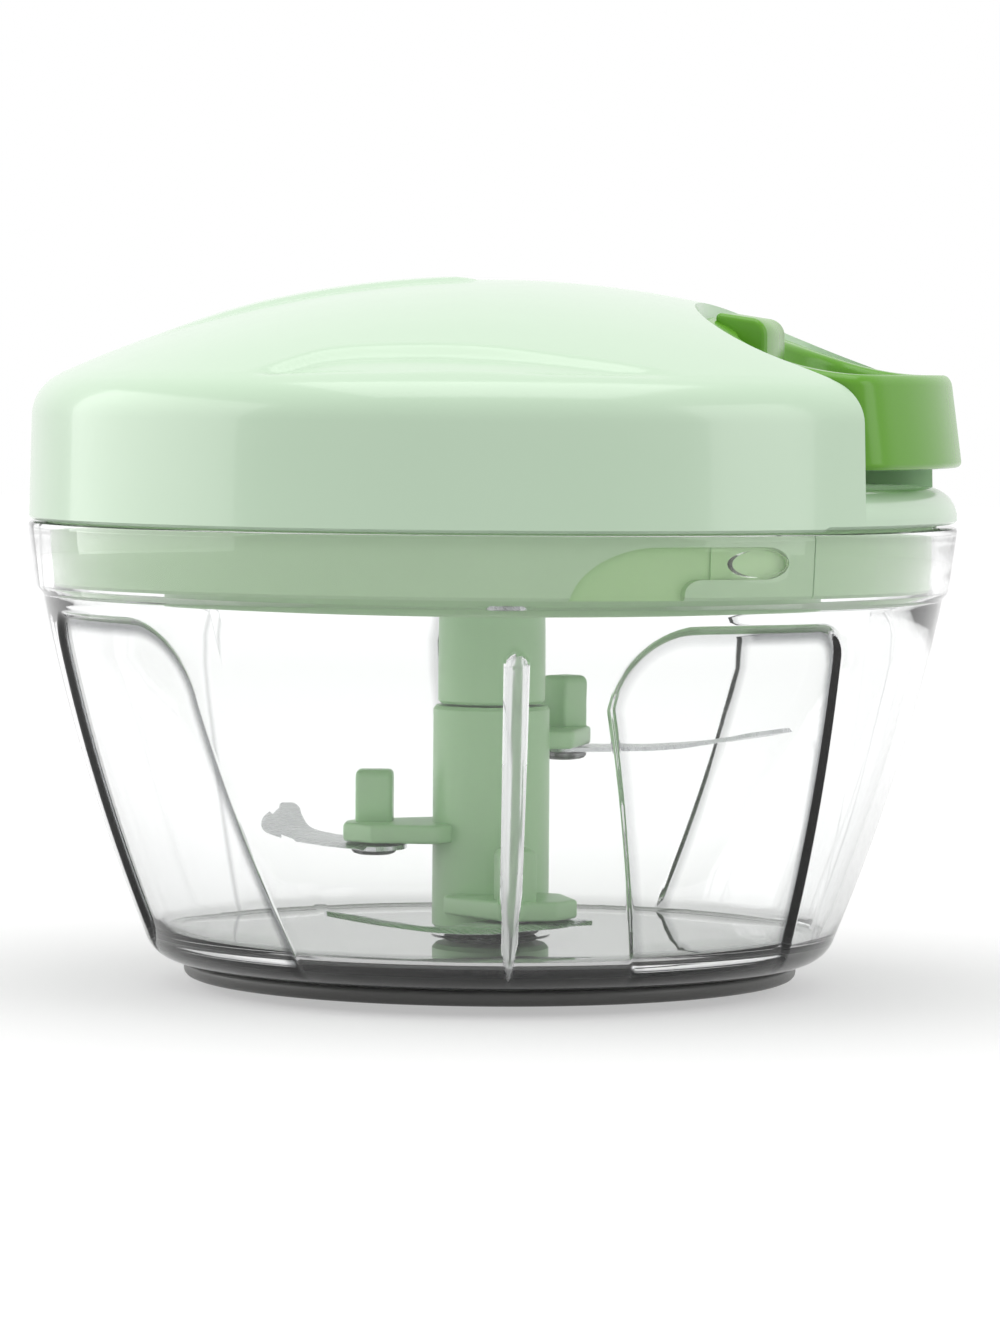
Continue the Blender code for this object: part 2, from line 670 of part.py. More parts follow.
def make_lid_base():
    skirt_in = SKIRT_R - SKIRT_WALL
    plate_top = PLATE_Z + PLATE_WALL
    pan_top = PAN_Z + PLATE_WALL
    collar_r = COLLAR_BORE_R + COLLAR_WALL
    foot_rim_r = LID_FOOT_R - LID_WALL - GAP
    profile = [
        (collar_r, COLLAR_TOP_Z), (collar_r, pan_top),
        (PAN_R - PLATE_WALL, pan_top), (PAN_R - PLATE_WALL, plate_top),
        (skirt_in, plate_top), (skirt_in, LID_FOOT_Z + PLATE_WALL),
        (foot_rim_r, LID_FOOT_Z + PLATE_WALL), (foot_rim_r, LID_FOOT_Z),
        (SKIRT_R, BOWL_TOP_Z), (SKIRT_R, SKIRT_FOOT_Z), (skirt_in, SKIRT_FOOT_Z),
        (skirt_in, PLATE_Z), (PAN_R, PLATE_Z), (PAN_R, PAN_Z),
        (COLLAR_BORE_R, PAN_Z), (COLLAR_BORE_R, COLLAR_TOP_Z),
    ]
    base = turned("lid_base", profile, ROUND_LARGE_COUNT, MINT, LID)
    track_r = BOWL_INNER_R - LUG_REACH - LUG_PLAY
    half_lug = math.asin((LUG_LENGTH / 2 + LUG_PLAY) / SKIRT_R)
    low = LUG_Z - LUG_H / 2 - LUG_PLAY
    high = LUG_Z + LUG_H / 2 + LUG_PLAY
    out_r = BOWL_RIM_R + OVER
    for i in range(LUG_COUNT):
        lug_angle = LUG_FIRST + i * math.tau / LUG_COUNT
        track = sector(f"track_{i + 1}", track_r, out_r, low, high,
                       lug_angle - TWIST - half_lug, lug_angle + half_lug)
        entry = sector(f"track_entry_{i + 1}", track_r, out_r, SKIRT_FOOT_Z - OVER, low + OVER,
                       lug_angle - TWIST - half_lug, lug_angle - TWIST + half_lug, steps=3)
        cut(base, track, entry)
    for i, angle in enumerate(screw_angles()):
        hole = cylinder(f"base_hole_{i + 1}", SCREW_R + GAP, PLATE_Z - OVER, plate_top + OVER,
                        facets=12)
        hole.location = (SCREW_CIRCLE_R * math.cos(angle), SCREW_CIRCLE_R * math.sin(angle), 0.0)
        cut(base, hole)


def screw_mesh(name, shank_r, head_r, head_h, length):
    """A pan-head screw with a cross recess, head down, its seat at z = 0."""
    bm = bmesh.new()
    profile = [
        (0.0, length), (shank_r * 0.6, length), (shank_r, length - shank_r), (shank_r, 0.0),
        (head_r, 0.0), (head_r, -head_h * 0.5), (head_r * 0.75, -head_h), (0.0, -head_h),
    ]
    verts = [bm.verts.new((r, 0.0, z)) for r, z in profile]
    edges = [bm.edges.new(pair) for pair in zip(verts, verts[1:])]
    bmesh.ops.spin(bm, geom=verts + edges, axis=(0, 0, 1), cent=(0, 0, 0), angle=math.tau,
                   steps=12, use_merge=True, use_duplicate=False)
    bmesh.ops.remove_doubles(bm, verts=bm.verts, dist=0.00001)
    return mesh_from(bm, name)


def make_lid_screws():
    mesh = screw_mesh("lid_screw", SCREW_R, SCREW_HEAD_R, SCREW_HEAD_H, SCREW_LENGTH)
    seat = PLATE_Z - GAP
    slot = 0.5 * MM
    for i, angle in enumerate(screw_angles()):
        name = f"lid_screw_{i + 1}"
        screw = add_object(name, mesh.copy(), STEEL, LID)
        screw.location = (SCREW_CIRCLE_R * math.cos(angle), SCREW_CIRCLE_R * math.sin(angle), seat)
        for turn, label in ((0.0, "a"), (90.0, "b")):
            reach = SCREW_HEAD_R * 0.6
            recess = box(f"{name}_recess_{label}", (-reach, -slot / 2, -SCREW_HEAD_H - OVER),
                         (reach, slot / 2, -SCREW_HEAD_H * 0.5))
            recess.location = screw.location
            turn_about_axis(recess, math.radians(turn))
            cut(screw, recess)


def make_bush():
    flange_r = COLLAR_BORE_R + COLLAR_WALL
    foot = PAN_Z - GAP
    profile = [
        (BUSH_R, COLLAR_TOP_Z), (BUSH_R, foot), (flange_r, foot), (flange_r, foot - BUSH_FLANGE),
        (BUSH_BORE_R, foot - BUSH_FLANGE), (BUSH_BORE_R, COLLAR_TOP_Z),
    ]
    turned("shaft_bush", profile, 32, WHITE_PLASTIC, LID)


def make_arbor():
    head_r = ARBOR_R
    top = LID_INNER_TOP_Z - GAP
    arbor = cylinder("spring_arbor", head_r, ARBOR_FOOT_Z, top, STEEL, LID)
    slot = box("arbor_slot", (-ARBOR_R - OVER, -SPRING_STRIP, ARBOR_FOOT_Z - OVER),
               (ARBOR_R + OVER, SPRING_STRIP, ARBOR_FOOT_Z + SPRING_WIDTH + GAP))
    cut(arbor, slot)


def make_spring():
    """A flat strip wound in a spiral, standing on edge between the arbor and the drum's cup."""
    inner = ARBOR_R + GAP
    outer = DRUM_R - CUP_WALL - GAP - SPRING_STRIP
    per_turn = 20
    count = SPRING_TURNS * per_turn
    inside = []
    outside = []
    for i in range(count + 1):
        angle = math.tau * i / per_turn
        r = inner + (outer - inner) * i / count
        inside.append((r * math.cos(angle), r * math.sin(angle)))
        r += SPRING_STRIP
        outside.append((r * math.cos(angle), r * math.sin(angle)))
    low = CUP_FLOOR_Z + DRUM_SCREW_HEAD_H + 2 * GAP
    flat("return_spring", outside + list(reversed(inside)), low, low + SPRING_WIDTH, STEEL, LID)


def make_cord_guide():
    inner_x = POCKET_NOSE_X - LID_WALL - GAP
    profile = [
        (GUIDE_R, POCKET_NOSE_X), (GUIDE_R, inner_x), (GUIDE_FLANGE_R, inner_x),
        (GUIDE_FLANGE_R, inner_x - GUIDE_FLANGE), (GUIDE_BORE_R, inner_x - GUIDE_FLANGE),
        (GUIDE_BORE_R, POCKET_NOSE_X),
    ]
    guide = turned("cord_guide", profile, 16, WHITE_PLASTIC, LID)
    guide.rotation_euler = (0.0, math.radians(90.0), 0.0)
    guide.location = (0.0, 0.0, GUIDE_Z)


def make_drum():
    core_top = GROOVE_TOP_Z
    profile = [
        (DRUM_R, CUP_TOP_Z), (DRUM_R, core_top), (DRUM_CORE_R, core_top),
        (DRUM_CORE_R, GROOVE_Z), (DRUM_R, GROOVE_Z), (DRUM_R, DRUM_Z), (0.0, DRUM_Z),
        (0.0, CUP_FLOOR_Z), (DRUM_R - CUP_WALL, CUP_FLOOR_Z), (DRUM_R - CUP_WALL, CUP_TOP_Z),
    ]
    drum = turned("cord_drum", profile, 32, WHITE_PLASTIC, ROTOR)
    socket = cylinder("drum_socket", HEX_TOP_R + GAP, DRUM_Z - OVER, HEX_TOP_Z + GAP, facets=6)
    hole = cylinder("drum_screw_hole", DRUM_SCREW_R + GAP, HEX_TOP_Z, CUP_FLOOR_Z + OVER,
                    facets=12)
    knot_hole = cylinder("drum_cord_hole", GUIDE_BORE_R, 0.0, DRUM_R + OVER, facets=10)
    knot_hole.data.transform(Matrix.Translation((0.0, 0.0, HEX_TOP_R + 2 * GAP)))
    knot_hole.data.transform(Matrix.Rotation(math.radians(90.0), 4, "Y"))
    knot_hole.location = (0.0, 0.0, (GROOVE_Z + GROOVE_TOP_Z) / 2)
    cut(drum, socket, hole, knot_hole)


def make_drum_screw():
    name = "drum_screw"
    mesh = screw_mesh(name, DRUM_SCREW_R, DRUM_SCREW_HEAD_R, DRUM_SCREW_HEAD_H,
                      DRUM_SCREW_LENGTH)
    mesh.transform(Matrix.Rotation(math.pi, 4, "X"))
    screw = add_object(name, mesh, STEEL, ROTOR)
    screw.location = (0.0, 0.0, CUP_FLOOR_Z + GAP)
    slot = 0.7 * MM
    reach = DRUM_SCREW_HEAD_R * 0.6
    for turn, label in ((0.0, "a"), (90.0, "b")):
        recess = box(f"{name}_recess_{label}", (-reach, -slot / 2, DRUM_SCREW_HEAD_H * 0.5),
                     (reach, slot / 2, DRUM_SCREW_HEAD_H + OVER))
        recess.location = screw.location
        turn_about_axis(recess, math.radians(turn))
        cut(screw, recess)


def make_drive_shaft():
    seam = SHAFT_SEAM_Z + GAP
    shaft = cylinder("drive_shaft", SHAFT_R, seam, COLLAR_TOP_Z, MINT_DEEP, ROTOR, facets=32)
    top = cylinder("shaft_top_hex", HEX_TOP_R, COLLAR_TOP_Z - OVER, HEX_TOP_Z, facets=6)
    end = cylinder("shaft_end_hex", HEX_END_R, seam - HEX_END_H, seam + OVER, facets=6)
    hole = cylinder("shaft_screw_hole", DRUM_SCREW_R + GAP,
                    CUP_FLOOR_Z - DRUM_SCREW_LENGTH - GAP, HEX_TOP_Z + OVER, facets=12)
    join(shaft, top, end)
    cut(shaft, hole)


def arm_outline():
    """Plan of a blade arm: a plate that is slanted on the side that its blade sweeps to."""
    root = SLEEVE_R * 0.6
    root_half = SLEEVE_R * 0.75
    return [(root, -root_half), *ARM_CORNERS, (root, root_half)]


def make_carrier():
    top = SHAFT_SEAM_Z
    carrier = cylinder("blade_carrier", SLEEVE_R, SLEEVE_FOOT_Z, top, MINT_DEEP, ROTOR, facets=32)
    for name, z, degrees in zip(ARM_NAMES, ARM_Z, ARM_TURNS):
        turn = math.radians(degrees)
        arm = flat(f"arm_{name}", arm_outline(), z, z + ARM_THICK)
        finger_low = z + ARM_THICK - OVER
        finger_high = z + ARM_THICK + FINGER_H
        width = FINGER_WIDTH / 2
        side = [
            (-width, finger_low), (width, finger_low),
            *arc((width - FINGER_ROUND, finger_high - FINGER_ROUND), FINGER_ROUND, 0.0, 90.0, 3),
            *arc((FINGER_ROUND - width, finger_high - FINGER_ROUND), FINGER_ROUND, 90.0, 180.0, 3),
        ]
        finger = flat(f"finger_{name}", side, FINGER_AT_R - width, FINGER_AT_R + width)
        finger.data.transform(Matrix(((0, 0, 1), (1, 0, 0), (0, 1, 0))).to_4x4())
        rivet_hole = cylinder(f"rivet_hole_{name}", RIVET_R + GAP, z - OVER, z + RIVET_SET + GAP,
                              facets=12)
        rivet_hole.data.transform(Matrix.Translation((FINGER_AT_R, 0.0, 0.0)))
        for piece in (arm, finger, rivet_hole):
            turn_about_axis(piece, turn)
        join(carrier, arm, finger)
        cut(carrier, rivet_hole)
    socket = cylinder("carrier_socket", HEX_END_R + GAP, top - HEX_END_H, top + OVER, facets=6)
    bore_top = BOSS_TOP_Z - PIN_SET + PIN_H + 3 * GAP
    bore = cylinder("carrier_bore", PIN_R + RUN, SLEEVE_FOOT_Z - OVER, bore_top, facets=16)
    cut(carrier, socket, bore)


def smoothed(stations, steps):
    """Stations on a smooth curve through the given ones."""
    last = len(stations) - 1
    made = []
    for i in range(last):
        a, b, c, d = (Vector(stations[min(max(i + k, 0), last)]) for k in (-1, 0, 1, 2))
        for step in range(steps):
            t = step / steps
            square = a - b * 2.5 + c * 2.0 - d * 0.5
            cube = (b - c) * 1.5 + (d - a) * 0.5
            made.append(b + (c - a) * (t / 2) + square * t ** 2 + cube * t ** 3)
    made.append(Vector(stations[last]))
    return made


def blade_mesh(name, low):
    """A swept blade of even thickness whose tip rises, its underside at low where it is flat."""
    stations = smoothed(BLADE_STATIONS, BLADE_STEPS)
    bm = bmesh.new()
    rings = []
    for i, (x, y, half, rise) in enumerate(stations):
        before = stations[max(i - 1, 0)]
        after = stations[min(i + 1, len(stations) - 1)]
        heading = Vector((after[0] - before[0], after[1] - before[1])).normalized()
        out = (x - heading.y * half, y + heading.x * half)
        back = (x + heading.y * half, y - heading.x * half)
        z = low + max(rise, 0.0)
        top = z + BLADE_THICK
        rings.append([bm.verts.new((*xy, level))
                      for xy, level in ((out, z), (back, z), (back, top), (out, top))])
    bm.faces.new(rings[0])
    bm.faces.new(rings[-1])
    for one, two in zip(rings, rings[1:]):
        for k in range(4):
            j = (k + 1) % 4
            bm.faces.new((one[k], one[j], two[j], two[k]))
    bmesh.ops.triangulate(bm, faces=bm.faces)
    return mesh_from(bm, name)


def make_blades():
    for name, z, degrees in zip(ARM_NAMES, ARM_Z, ARM_TURNS):
        top = z - GAP
        blade = add_object(f"blade_{name}", blade_mesh(f"blade_{name}", top - BLADE_THICK), STEEL,
                           ROTOR)
        turn_about_axis(blade, math.radians(degrees))
        hole = cylinder(f"blade_hole_{name}", RIVET_R + GAP, top - BLADE_THICK - OVER, top + OVER,
                        facets=12)
        hole.data.transform(Matrix.Translation((FINGER_AT_R, 0.0, 0.0)))
        turn_about_axis(hole, math.radians(degrees))
        cut(blade, hole)
        seat = top - BLADE_THICK - GAP
        head = RIVET_HEAD_H
        profile = [
            (0.0, z + RIVET_SET), (RIVET_R, z + RIVET_SET), (RIVET_R, seat),
            (RIVET_HEAD_R, seat), (RIVET_HEAD_R, seat - head * 0.5),
            (RIVET_HEAD_R * 0.7, seat - head), (0.0, seat - head),
        ]
        rivet = turned(f"rivet_{name}", profile, 12, STEEL, ROTOR, closed=False)
        rivet.location = (FINGER_AT_R * math.cos(math.radians(degrees)),
                          FINGER_AT_R * math.sin(math.radians(degrees)), 0.0)


def make_washer():
    top = SLEEVE_FOOT_Z - GAP
    profile = [
        (WASHER_R, top), (WASHER_R, top - WASHER_H), (PIN_R + RUN, top - WASHER_H),
        (PIN_R + RUN, top),
    ]
    turned("shaft_washer", profile, 24, STEEL, ROTOR)


def handle_side():
    """Side view of the handle: flat below, its top sinking in a long curve to the flat grip."""
    end_x = HANDLE_END_R + 2 * OVER
    top = []
    steps = 8
    for i in range(steps + 1):
        share = i / steps
        x = HANDLE_NOSE_X + (HANDLE_FLAT_FROM_X - HANDLE_NOSE_X) * share
        z = HANDLE_TOP_Z + (HANDLE_NOSE_Z - HANDLE_TOP_Z) * (1.0 - share) ** 1.7
        top.append((x, z))
    start_x = HANDLE_NOSE_X - OVER
    return [
        (start_x, HANDLE_FOOT_Z), (end_x, HANDLE_FOOT_Z), (end_x, HANDLE_TOP_Z),
        *reversed(top), (start_x, HANDLE_NOSE_Z),
    ]


def make_handle():
    far_x = HANDLE_END_R + 2 * OVER
    low = HANDLE_FOOT_Z - OVER
    high = LID_TOP_Z + OVER
    handle = flat("pull_handle", pocket_outline(HANDLE_PLAY, far_x), low, high, GREEN, HANDLE)
    side = flat("handle_side", handle_side(), -POCKET_HALF - OVER, POCKET_HALF + OVER)
    side.data.transform(Matrix.Rotation(math.radians(90.0), 4, "X"))
    end = cylinder("handle_end", HANDLE_END_R + HANDLE_END_LEAN * OVER / (HANDLE_TOP_Z - low), low,
                   high, facets=64,
                   top_radius=HANDLE_END_R - HANDLE_END_LEAN * (high - low) / (HANDLE_TOP_Z - low))
    inside = flat("handle_inside", pocket_outline(HANDLE_PLAY + HANDLE_BAND, far_x), low - OVER,
                  high + OVER)
    inside_end = cylinder("handle_inside_end", HANDLE_END_R - HANDLE_GRIP, low - 2 * OVER,
                          high + 2 * OVER, facets=64)
    keep(inside, inside_end)
    keep(handle, end, side)
    cut(handle, inside)
    block_low = (HANDLE_NOSE_X + HANDLE_BAND / 2, -BLOCK_HALF, HANDLE_FOOT_Z)
    block_high = (HANDLE_NOSE_X + BLOCK_LENGTH, BLOCK_HALF, LID_TOP_Z)
    block = box("handle_block", block_low, block_high)
    ease = block.modifiers.new("ease", "BEVEL")
    ease.width = BLOCK_EASE
    ease.segments = 2
    keep(block, lid_solid("block_dome", 0.0, HANDLE_FOOT_Z))
    join(handle, block)
    bore = cylinder("anchor_bore", ANCHOR_R + GAP, HANDLE_NOSE_X - OVER,
                    HANDLE_NOSE_X + BLOCK_LENGTH + OVER, facets=16)
    bore.data.transform(Matrix.Rotation(math.radians(90.0), 4, "Y"))
    bore.location = (0.0, 0.0, GUIDE_Z + ANCHOR_R)
    cut(handle, bore)


def make_anchor():
    """The plug that the cord's end is knotted behind, pushed into the handle from its inside."""
    seat = HANDLE_NOSE_X + BLOCK_LENGTH + GAP
    nose = HANDLE_NOSE_X + GAP
    profile = [
        (ANCHOR_HEAD_R, seat + ANCHOR_HEAD_H), (ANCHOR_HEAD_R, seat), (ANCHOR_R, seat),
        (ANCHOR_R, nose), (ANCHOR_BORE_R, nose), (ANCHOR_BORE_R, seat + ANCHOR_HEAD_H),
    ]
    anchor = turned("cord_anchor", profile, 16, GREEN, HANDLE)
    anchor.rotation_euler = (0.0, math.radians(90.0), 0.0)
    anchor.location = (0.0, 0.0, GUIDE_Z + ANCHOR_R)


clear_scene()
PARTS = new_collection("vegetable_chopper")
CUTTERS = new_collection("cutters")

MINT = material("mint_plastic", (0.62, 0.80, 0.62), 0.28)
MINT_DEEP = material("mint_plastic_inner", (0.44, 0.66, 0.45), 0.35)
GREEN = material("green_plastic", (0.20, 0.46, 0.05), 0.30)
CLEAR_PLASTIC = material("clear_plastic", (0.93, 0.95, 0.95), 0.05, alpha=0.25)
GREY_RUBBER = material("grey_rubber", (0.10, 0.10, 0.10), 0.45)
STEEL = material("steel", (0.70, 0.71, 0.72), 0.25, 1.0)
WHITE_PLASTIC = material("white_plastic", (0.82, 0.83, 0.80), 0.40)

LID = pivot("lid_axis", (0.0, 0.0, 0.0))
ROTOR = pivot("rotor_axis", (0.0, 0.0, 0.0))
HANDLE = pivot("handle_slide", (0.0, 0.0, 0.0))

make_pad()
make_bowl()
make_pivot_pin()
make_lid_shell()
make_lid_base()
make_lid_screws()
make_bush()
make_arbor()
make_spring()
make_cord_guide()
make_drum()
make_drum_screw()
make_drive_shaft()
make_carrier()
make_blades()
make_washer()
make_handle()
make_anchor()
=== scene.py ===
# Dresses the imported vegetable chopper: fine meshes over the CAD solids that show, a procedural
# material on every piece, a white studio and the photograph's camera.
#
# Sizes below are in millimetres in the CAD's frame. make_mesh turns them into metres.

import json
import math

import bmesh
import bpy
from mathutils import Matrix, Vector


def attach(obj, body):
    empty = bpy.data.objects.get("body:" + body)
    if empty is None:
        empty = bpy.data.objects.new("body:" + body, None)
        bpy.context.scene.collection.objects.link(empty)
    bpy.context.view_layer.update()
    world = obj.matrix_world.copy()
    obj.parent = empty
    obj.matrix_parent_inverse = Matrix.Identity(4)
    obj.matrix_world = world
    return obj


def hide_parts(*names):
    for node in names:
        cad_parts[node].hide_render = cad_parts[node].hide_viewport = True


MM = 0.001

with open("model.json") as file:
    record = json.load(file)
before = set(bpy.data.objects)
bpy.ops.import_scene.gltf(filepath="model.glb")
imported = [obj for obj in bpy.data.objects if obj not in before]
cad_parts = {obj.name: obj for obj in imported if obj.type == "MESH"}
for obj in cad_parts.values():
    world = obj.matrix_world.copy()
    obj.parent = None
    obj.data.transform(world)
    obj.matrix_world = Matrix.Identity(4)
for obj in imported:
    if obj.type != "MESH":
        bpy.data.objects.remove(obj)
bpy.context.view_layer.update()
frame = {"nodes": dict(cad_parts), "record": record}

# Camera, as it stood for the photograph
CAMERA_AZIMUTH = math.radians(-77.0)
CAMERA_DISTANCE = 800.0
CAMERA_Z = 85.7
CAMERA_AIM = (1.1, 0.25, 44.8)
CAMERA_ROLL = math.radians(0.45)
FOCAL_PIXELS = 5692.0
PHOTO_H = 1333.0

# Pad
PAD_R = 43.1
PAD_H = 3.5
PAD_FLOOR = 1.95
PAD_LIP = 1.8

# Bowl
BOWL_TOP = 65.0
BOWL_RIM_R = 65.1
BOWL_BAND_R = 64.0
BOWL_SHOULDER_R = 63.2
BOWL_SHOULDER_Z = 55.2
BOWL_HEEL_R = 50.0
BOWL_HEEL_Z = 10.9
BOWL_HEEL_ROUND = 5.0
BOWL_SIDE_SWELL = 1.15
BOWL_WALL = 2.0
BOWL_FOOT_R = 41.0
BOWL_FOOT_Z = 1.9
BOWL_FLOOR_Z = 7.2
BOWL_STEP_Z = 3.8
BAND_FOOT_Z = 56.1
BAND_H = 8.3
RIM_WALL = 3.1
INNER_SHOULDER_R = 61.6
CLOSE_ROWS = (40.0, 54.6)
RECESS_R = 37.0
RECESS_Z = 5.2
BOSS_R = 8.4
BOSS_TOP = 7.4
BORE_R = 2.4
BORE_Z = 4.2
PANEL_TOP = 53.0
PANEL_CORNER = 5.0
PANEL_WIDE_CORNER = 11.0
PANEL_SILL = 6.5
PANEL_DEPTH = 0.8
PANEL_EASE = 1.1
PANEL_FADE_Z = 4.4
PANEL_FADE_H = 5.0
PANEL_EDGE = 20.5
PANEL_BEYOND = 6.2
PANEL_REACH = math.radians(35.0)
EDGE_ZONE = 1.6
EDGE_STEP = 0.27
CORNER_STEP = 0.45
# Breadth of the painted shade along a wide edge, and the height below which no painted shade is laid
WIDE_SHADE_W = 2.8
SHADE_LOW_Z = 3.9
SKIN = 1.2
COLUMNS_FROM_R = 48.0
RIBS = (-74.0, 106.0)
RIB_LOW = 4.8
RIB_HIGH = 49.6
RIB_HALF = 1.5
RIB_PROUD = 1.0
RIB_STEP = 0.32
RIB_TAPER_H = 26.0
RIB_END_H = 1.6
RIB_FOOT_H = 4.0
LUGS = (-43.0, 137.0)
LUG_Z = 61.4
LUG_HALF_LENGTH = 4.5
LUG_HALF_H = 1.8
LUG_INNER_R = 60.8

# Each panel: its middle in degrees, the side with the wide corner, how far out its wide-cornered
# edge stands from its middle under its arch and at its sill, the same for its other edge, how
# much painted shade darkens the two edges, and how broad the other edge's painted shade is
PANELS = (
    (-135.0, 1, (18.3, 21.6), (17.8, 15.7), 1.0, 1.0, 3.0),
    (-45.0, -1, (18.0, 7.8), (18.3, 20.7), 0.45, 1.0, 2.6),
    (45.0, 1, (20.8, 22.0), (20.5, 20.5), 0.6, 0.6, 1.1),
    (130.0, -1, (20.5, 20.5), (20.5, 20.5), 0.6, 0.6, 1.1),
)

# Lid
DOME_TOP = 99.1
DOME_R = 143.0
LID_FOOT_R = 65.0
LID_FOOT_Z = 65.3
LID_BROW_R = 64.6
LID_BROW_ROUND = 6.5
LID_WALL = 2.2
SWEEP_END_R = 61.0
SWEEP_END_W = 3.0
DOME_FROM_Z = 74.0
FOOT_LIFT = 0.3
POCKET_X = 47.0
POCKET_HALF = 29.6
POCKET_NOSE = 17.5
POCKET_FLOOR = 70.6
POCKET_CUT_X = 78.0
POCKET_CUT_Z = 110.0
LEDGE_ROUND = 4.4
GUIDE_Z = 75.6
GUIDE_HOLE_R = 3.1
GUIDE_HOLE_X = (24.0, 32.0)

# Lid base
SKIRT_R = 61.5
SKIRT_IN = 58.9
SKIRT_FOOT = 56.6
SKIRT_SEAT_R = 62.5
PLATE_Z = 58.6
PLATE_TOP = 60.6
PAN_R = 46.0
PAN_Z = 52.6
COLLAR_IN = 9.3
COLLAR_OUT = 11.7
COLLAR_TOP = 66.0
TRACK_R = 60.3
TRACK_MIDDLE = -10.0
SEAM_ANGLE = 34.1
SEAM_WIDTH = 0.25

# Rotor
SHAFT_R = 7.5
SHAFT_SEAM = 39.6
HEX_R = 5.0
HEX_H = 11.7
HEX_PLAY = 0.3
DRUM_HEX_R = 6.0
DRUM_HEX_TOP = 76.0
DRUM_SCREW_R = 2.2
SLEEVE_R = 8.2
SLEEVE_FOOT = 8.4
ARMS = (("lower", 11.0, -65.0), ("middle", 20.6, -169.0), ("upper", 33.4, 64.0))
ARM_CORNERS = ((8.1, -8.5), (19.0, -3.0), (20.5, 0.5), (20.5, 5.0), (16.4, 8.8), (7.0, 8.8))
ARM_THICK = 2.6
FINGER_R = 16.4
FINGER_H = 7.2
FINGER_HALF = 2.6
FINGER_ROUND = 1.2
BLADE_THICK = 0.6
BLADE_UNDER_ARM = 0.3
RIVET_HOLE_R = 2.3
PIN_BORE_R = 2.4
PIN_BORE_TOP = 19.1
SOCKET_TOP = 42.0

# Stations along a blade from its tail to its raised tip: how far out along its arm, how far
# across it, half width and rise
BLADE_STATIONS = ((16.4, 10.9, 0.9, 0.0), (15.6, 6.6, 3.8, 0.0), (17.4, 1.6, 5.4, 0.0),
                  (20.8, -3.0, 5.0, 0.0), (25.4, -8.0, 4.0, 0.0), (29.6, -14.2, 3.6, 0.6),
                  (31.0, -21.0, 3.1, 1.7), (31.0, -26.0, 2.3, 2.6), (31.0, -29.0, 1.2, 3.1))
BLADE_STEPS = 8

# Handle
HANDLE_PLAY = 0.6
HANDLE_BAND = 5.6
HANDLE_GRIP = 6.0
HANDLE_FOOT = 73.4
HANDLE_TOP = 86.2
HANDLE_NOSE_Z = 95.0
HANDLE_NOSE_X = 30.1
HANDLE_FLAT_X = 56.0
HANDLE_END_R = 65.6
HANDLE_LEAN = 1.7
HANDLE_ROUND = 1.5
HANDLE_FOOT_ROUND = 0.9
HANDLE_CORNER = 4.0
LEAN_FROM_X = 54.0
LEAN_FADE_W = 8.0
BLOCK_LENGTH = 10.0
BLOCK_HALF = 7.5
ANCHOR_BORE_R = 2.5
ANCHOR_BORE_X = (28.0, 44.0)
ANCHOR_LIFT = 2.2


# ---------------------------------------------------------------- mesh helpers


def make_mesh(name, verts, faces, sharp=38.0):
    """A closed mesh object from millimetre points, smooth but for edges above the sharp angle."""
    mesh = bpy.data.meshes.new(name)
    mesh.from_pydata([(x * MM, y * MM, z * MM) for x, y, z in verts], [], faces)
    bm = bmesh.new()
    bm.from_mesh(mesh)
    bmesh.ops.recalc_face_normals(bm, faces=bm.faces)
    bm.to_mesh(mesh)
    bm.free()
    made = bpy.data.objects.new(name, mesh)
    bpy.context.scene.collection.objects.link(made)
    smooth(made, sharp)
    return made


def smooth(obj, sharp=38.0):
    obj.data.shade_smooth()
    obj.data.set_sharp_from_angle(angle=math.radians(sharp))


def finish(obj, body, stands_for, slot, *materials):
    """Puts a finished piece on its body, hides the CAD nodes it stands for and dresses it."""
    for material in materials:
        obj.data.materials.append(material)
    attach(obj, body)
    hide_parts(*stands_for)
    return obj


def lathe(profile, columns):
    """Points and faces of a profile turned about Z: a loop, or one with both ends on the axis."""
    open_ends = profile[0][0] == 0.0
    verts = []
    rows = []
    for r, z in profile:
        if r == 0.0:
            rows.append([len(verts)] * columns)
            verts.append((0.0, 0.0, z))
            continue
        rows.append([len(verts) + i for i in range(columns)])
        for i in range(columns):
            angle = math.tau * i / columns
            verts.append((r * math.cos(angle), r * math.sin(angle), z))
    pairs = list(zip(rows, rows[1:]))
    if not open_ends:
        pairs.append((rows[-1], rows[0]))
    return verts, band_faces(pairs, columns)


def band_faces(pairs, columns):
    faces = []
    for low, high in pairs:
        for i in range(columns):
            j = (i + 1) % columns
            corners = [low[i], low[j], high[j], high[i]]
            face = list(dict.fromkeys(corners))
            if len(face) > 2:
                faces.append(face)
    return faces


def turned(name, profile, columns=160, sharp=38.0):
    return make_mesh(name, *lathe(profile, columns), sharp=sharp)


def drill(name, radius, low, high, columns):
    """A plain upright cylinder that cuts a hole."""
    return turned(name, [(0.0, low), (radius, low), (radius, high), (0.0, high)], columns)


def prism(name, outline, low, high):
    """A flat outline in X and Y given thickness along Z."""
    count = len(outline)
    verts = [(x, y, low) for x, y in outline] + [(x, y, high) for x, y in outline]
    faces = [list(range(count))[::-1], list(range(count, 2 * count))]
    for i in range(count):
        j = (i + 1) % count
        faces.append([i, j, count + j, count + i])
    return make_mesh(name, verts, faces)


def ellipse_arc(centre, half_x, half_y, start, end, steps):
    points = []
    for i in range(steps + 1):
        angle = math.radians(start + (end - start) * i / steps)
        points.append((centre[0] + half_x * math.cos(angle), centre[1] + half_y * math.sin(angle)))
    return points


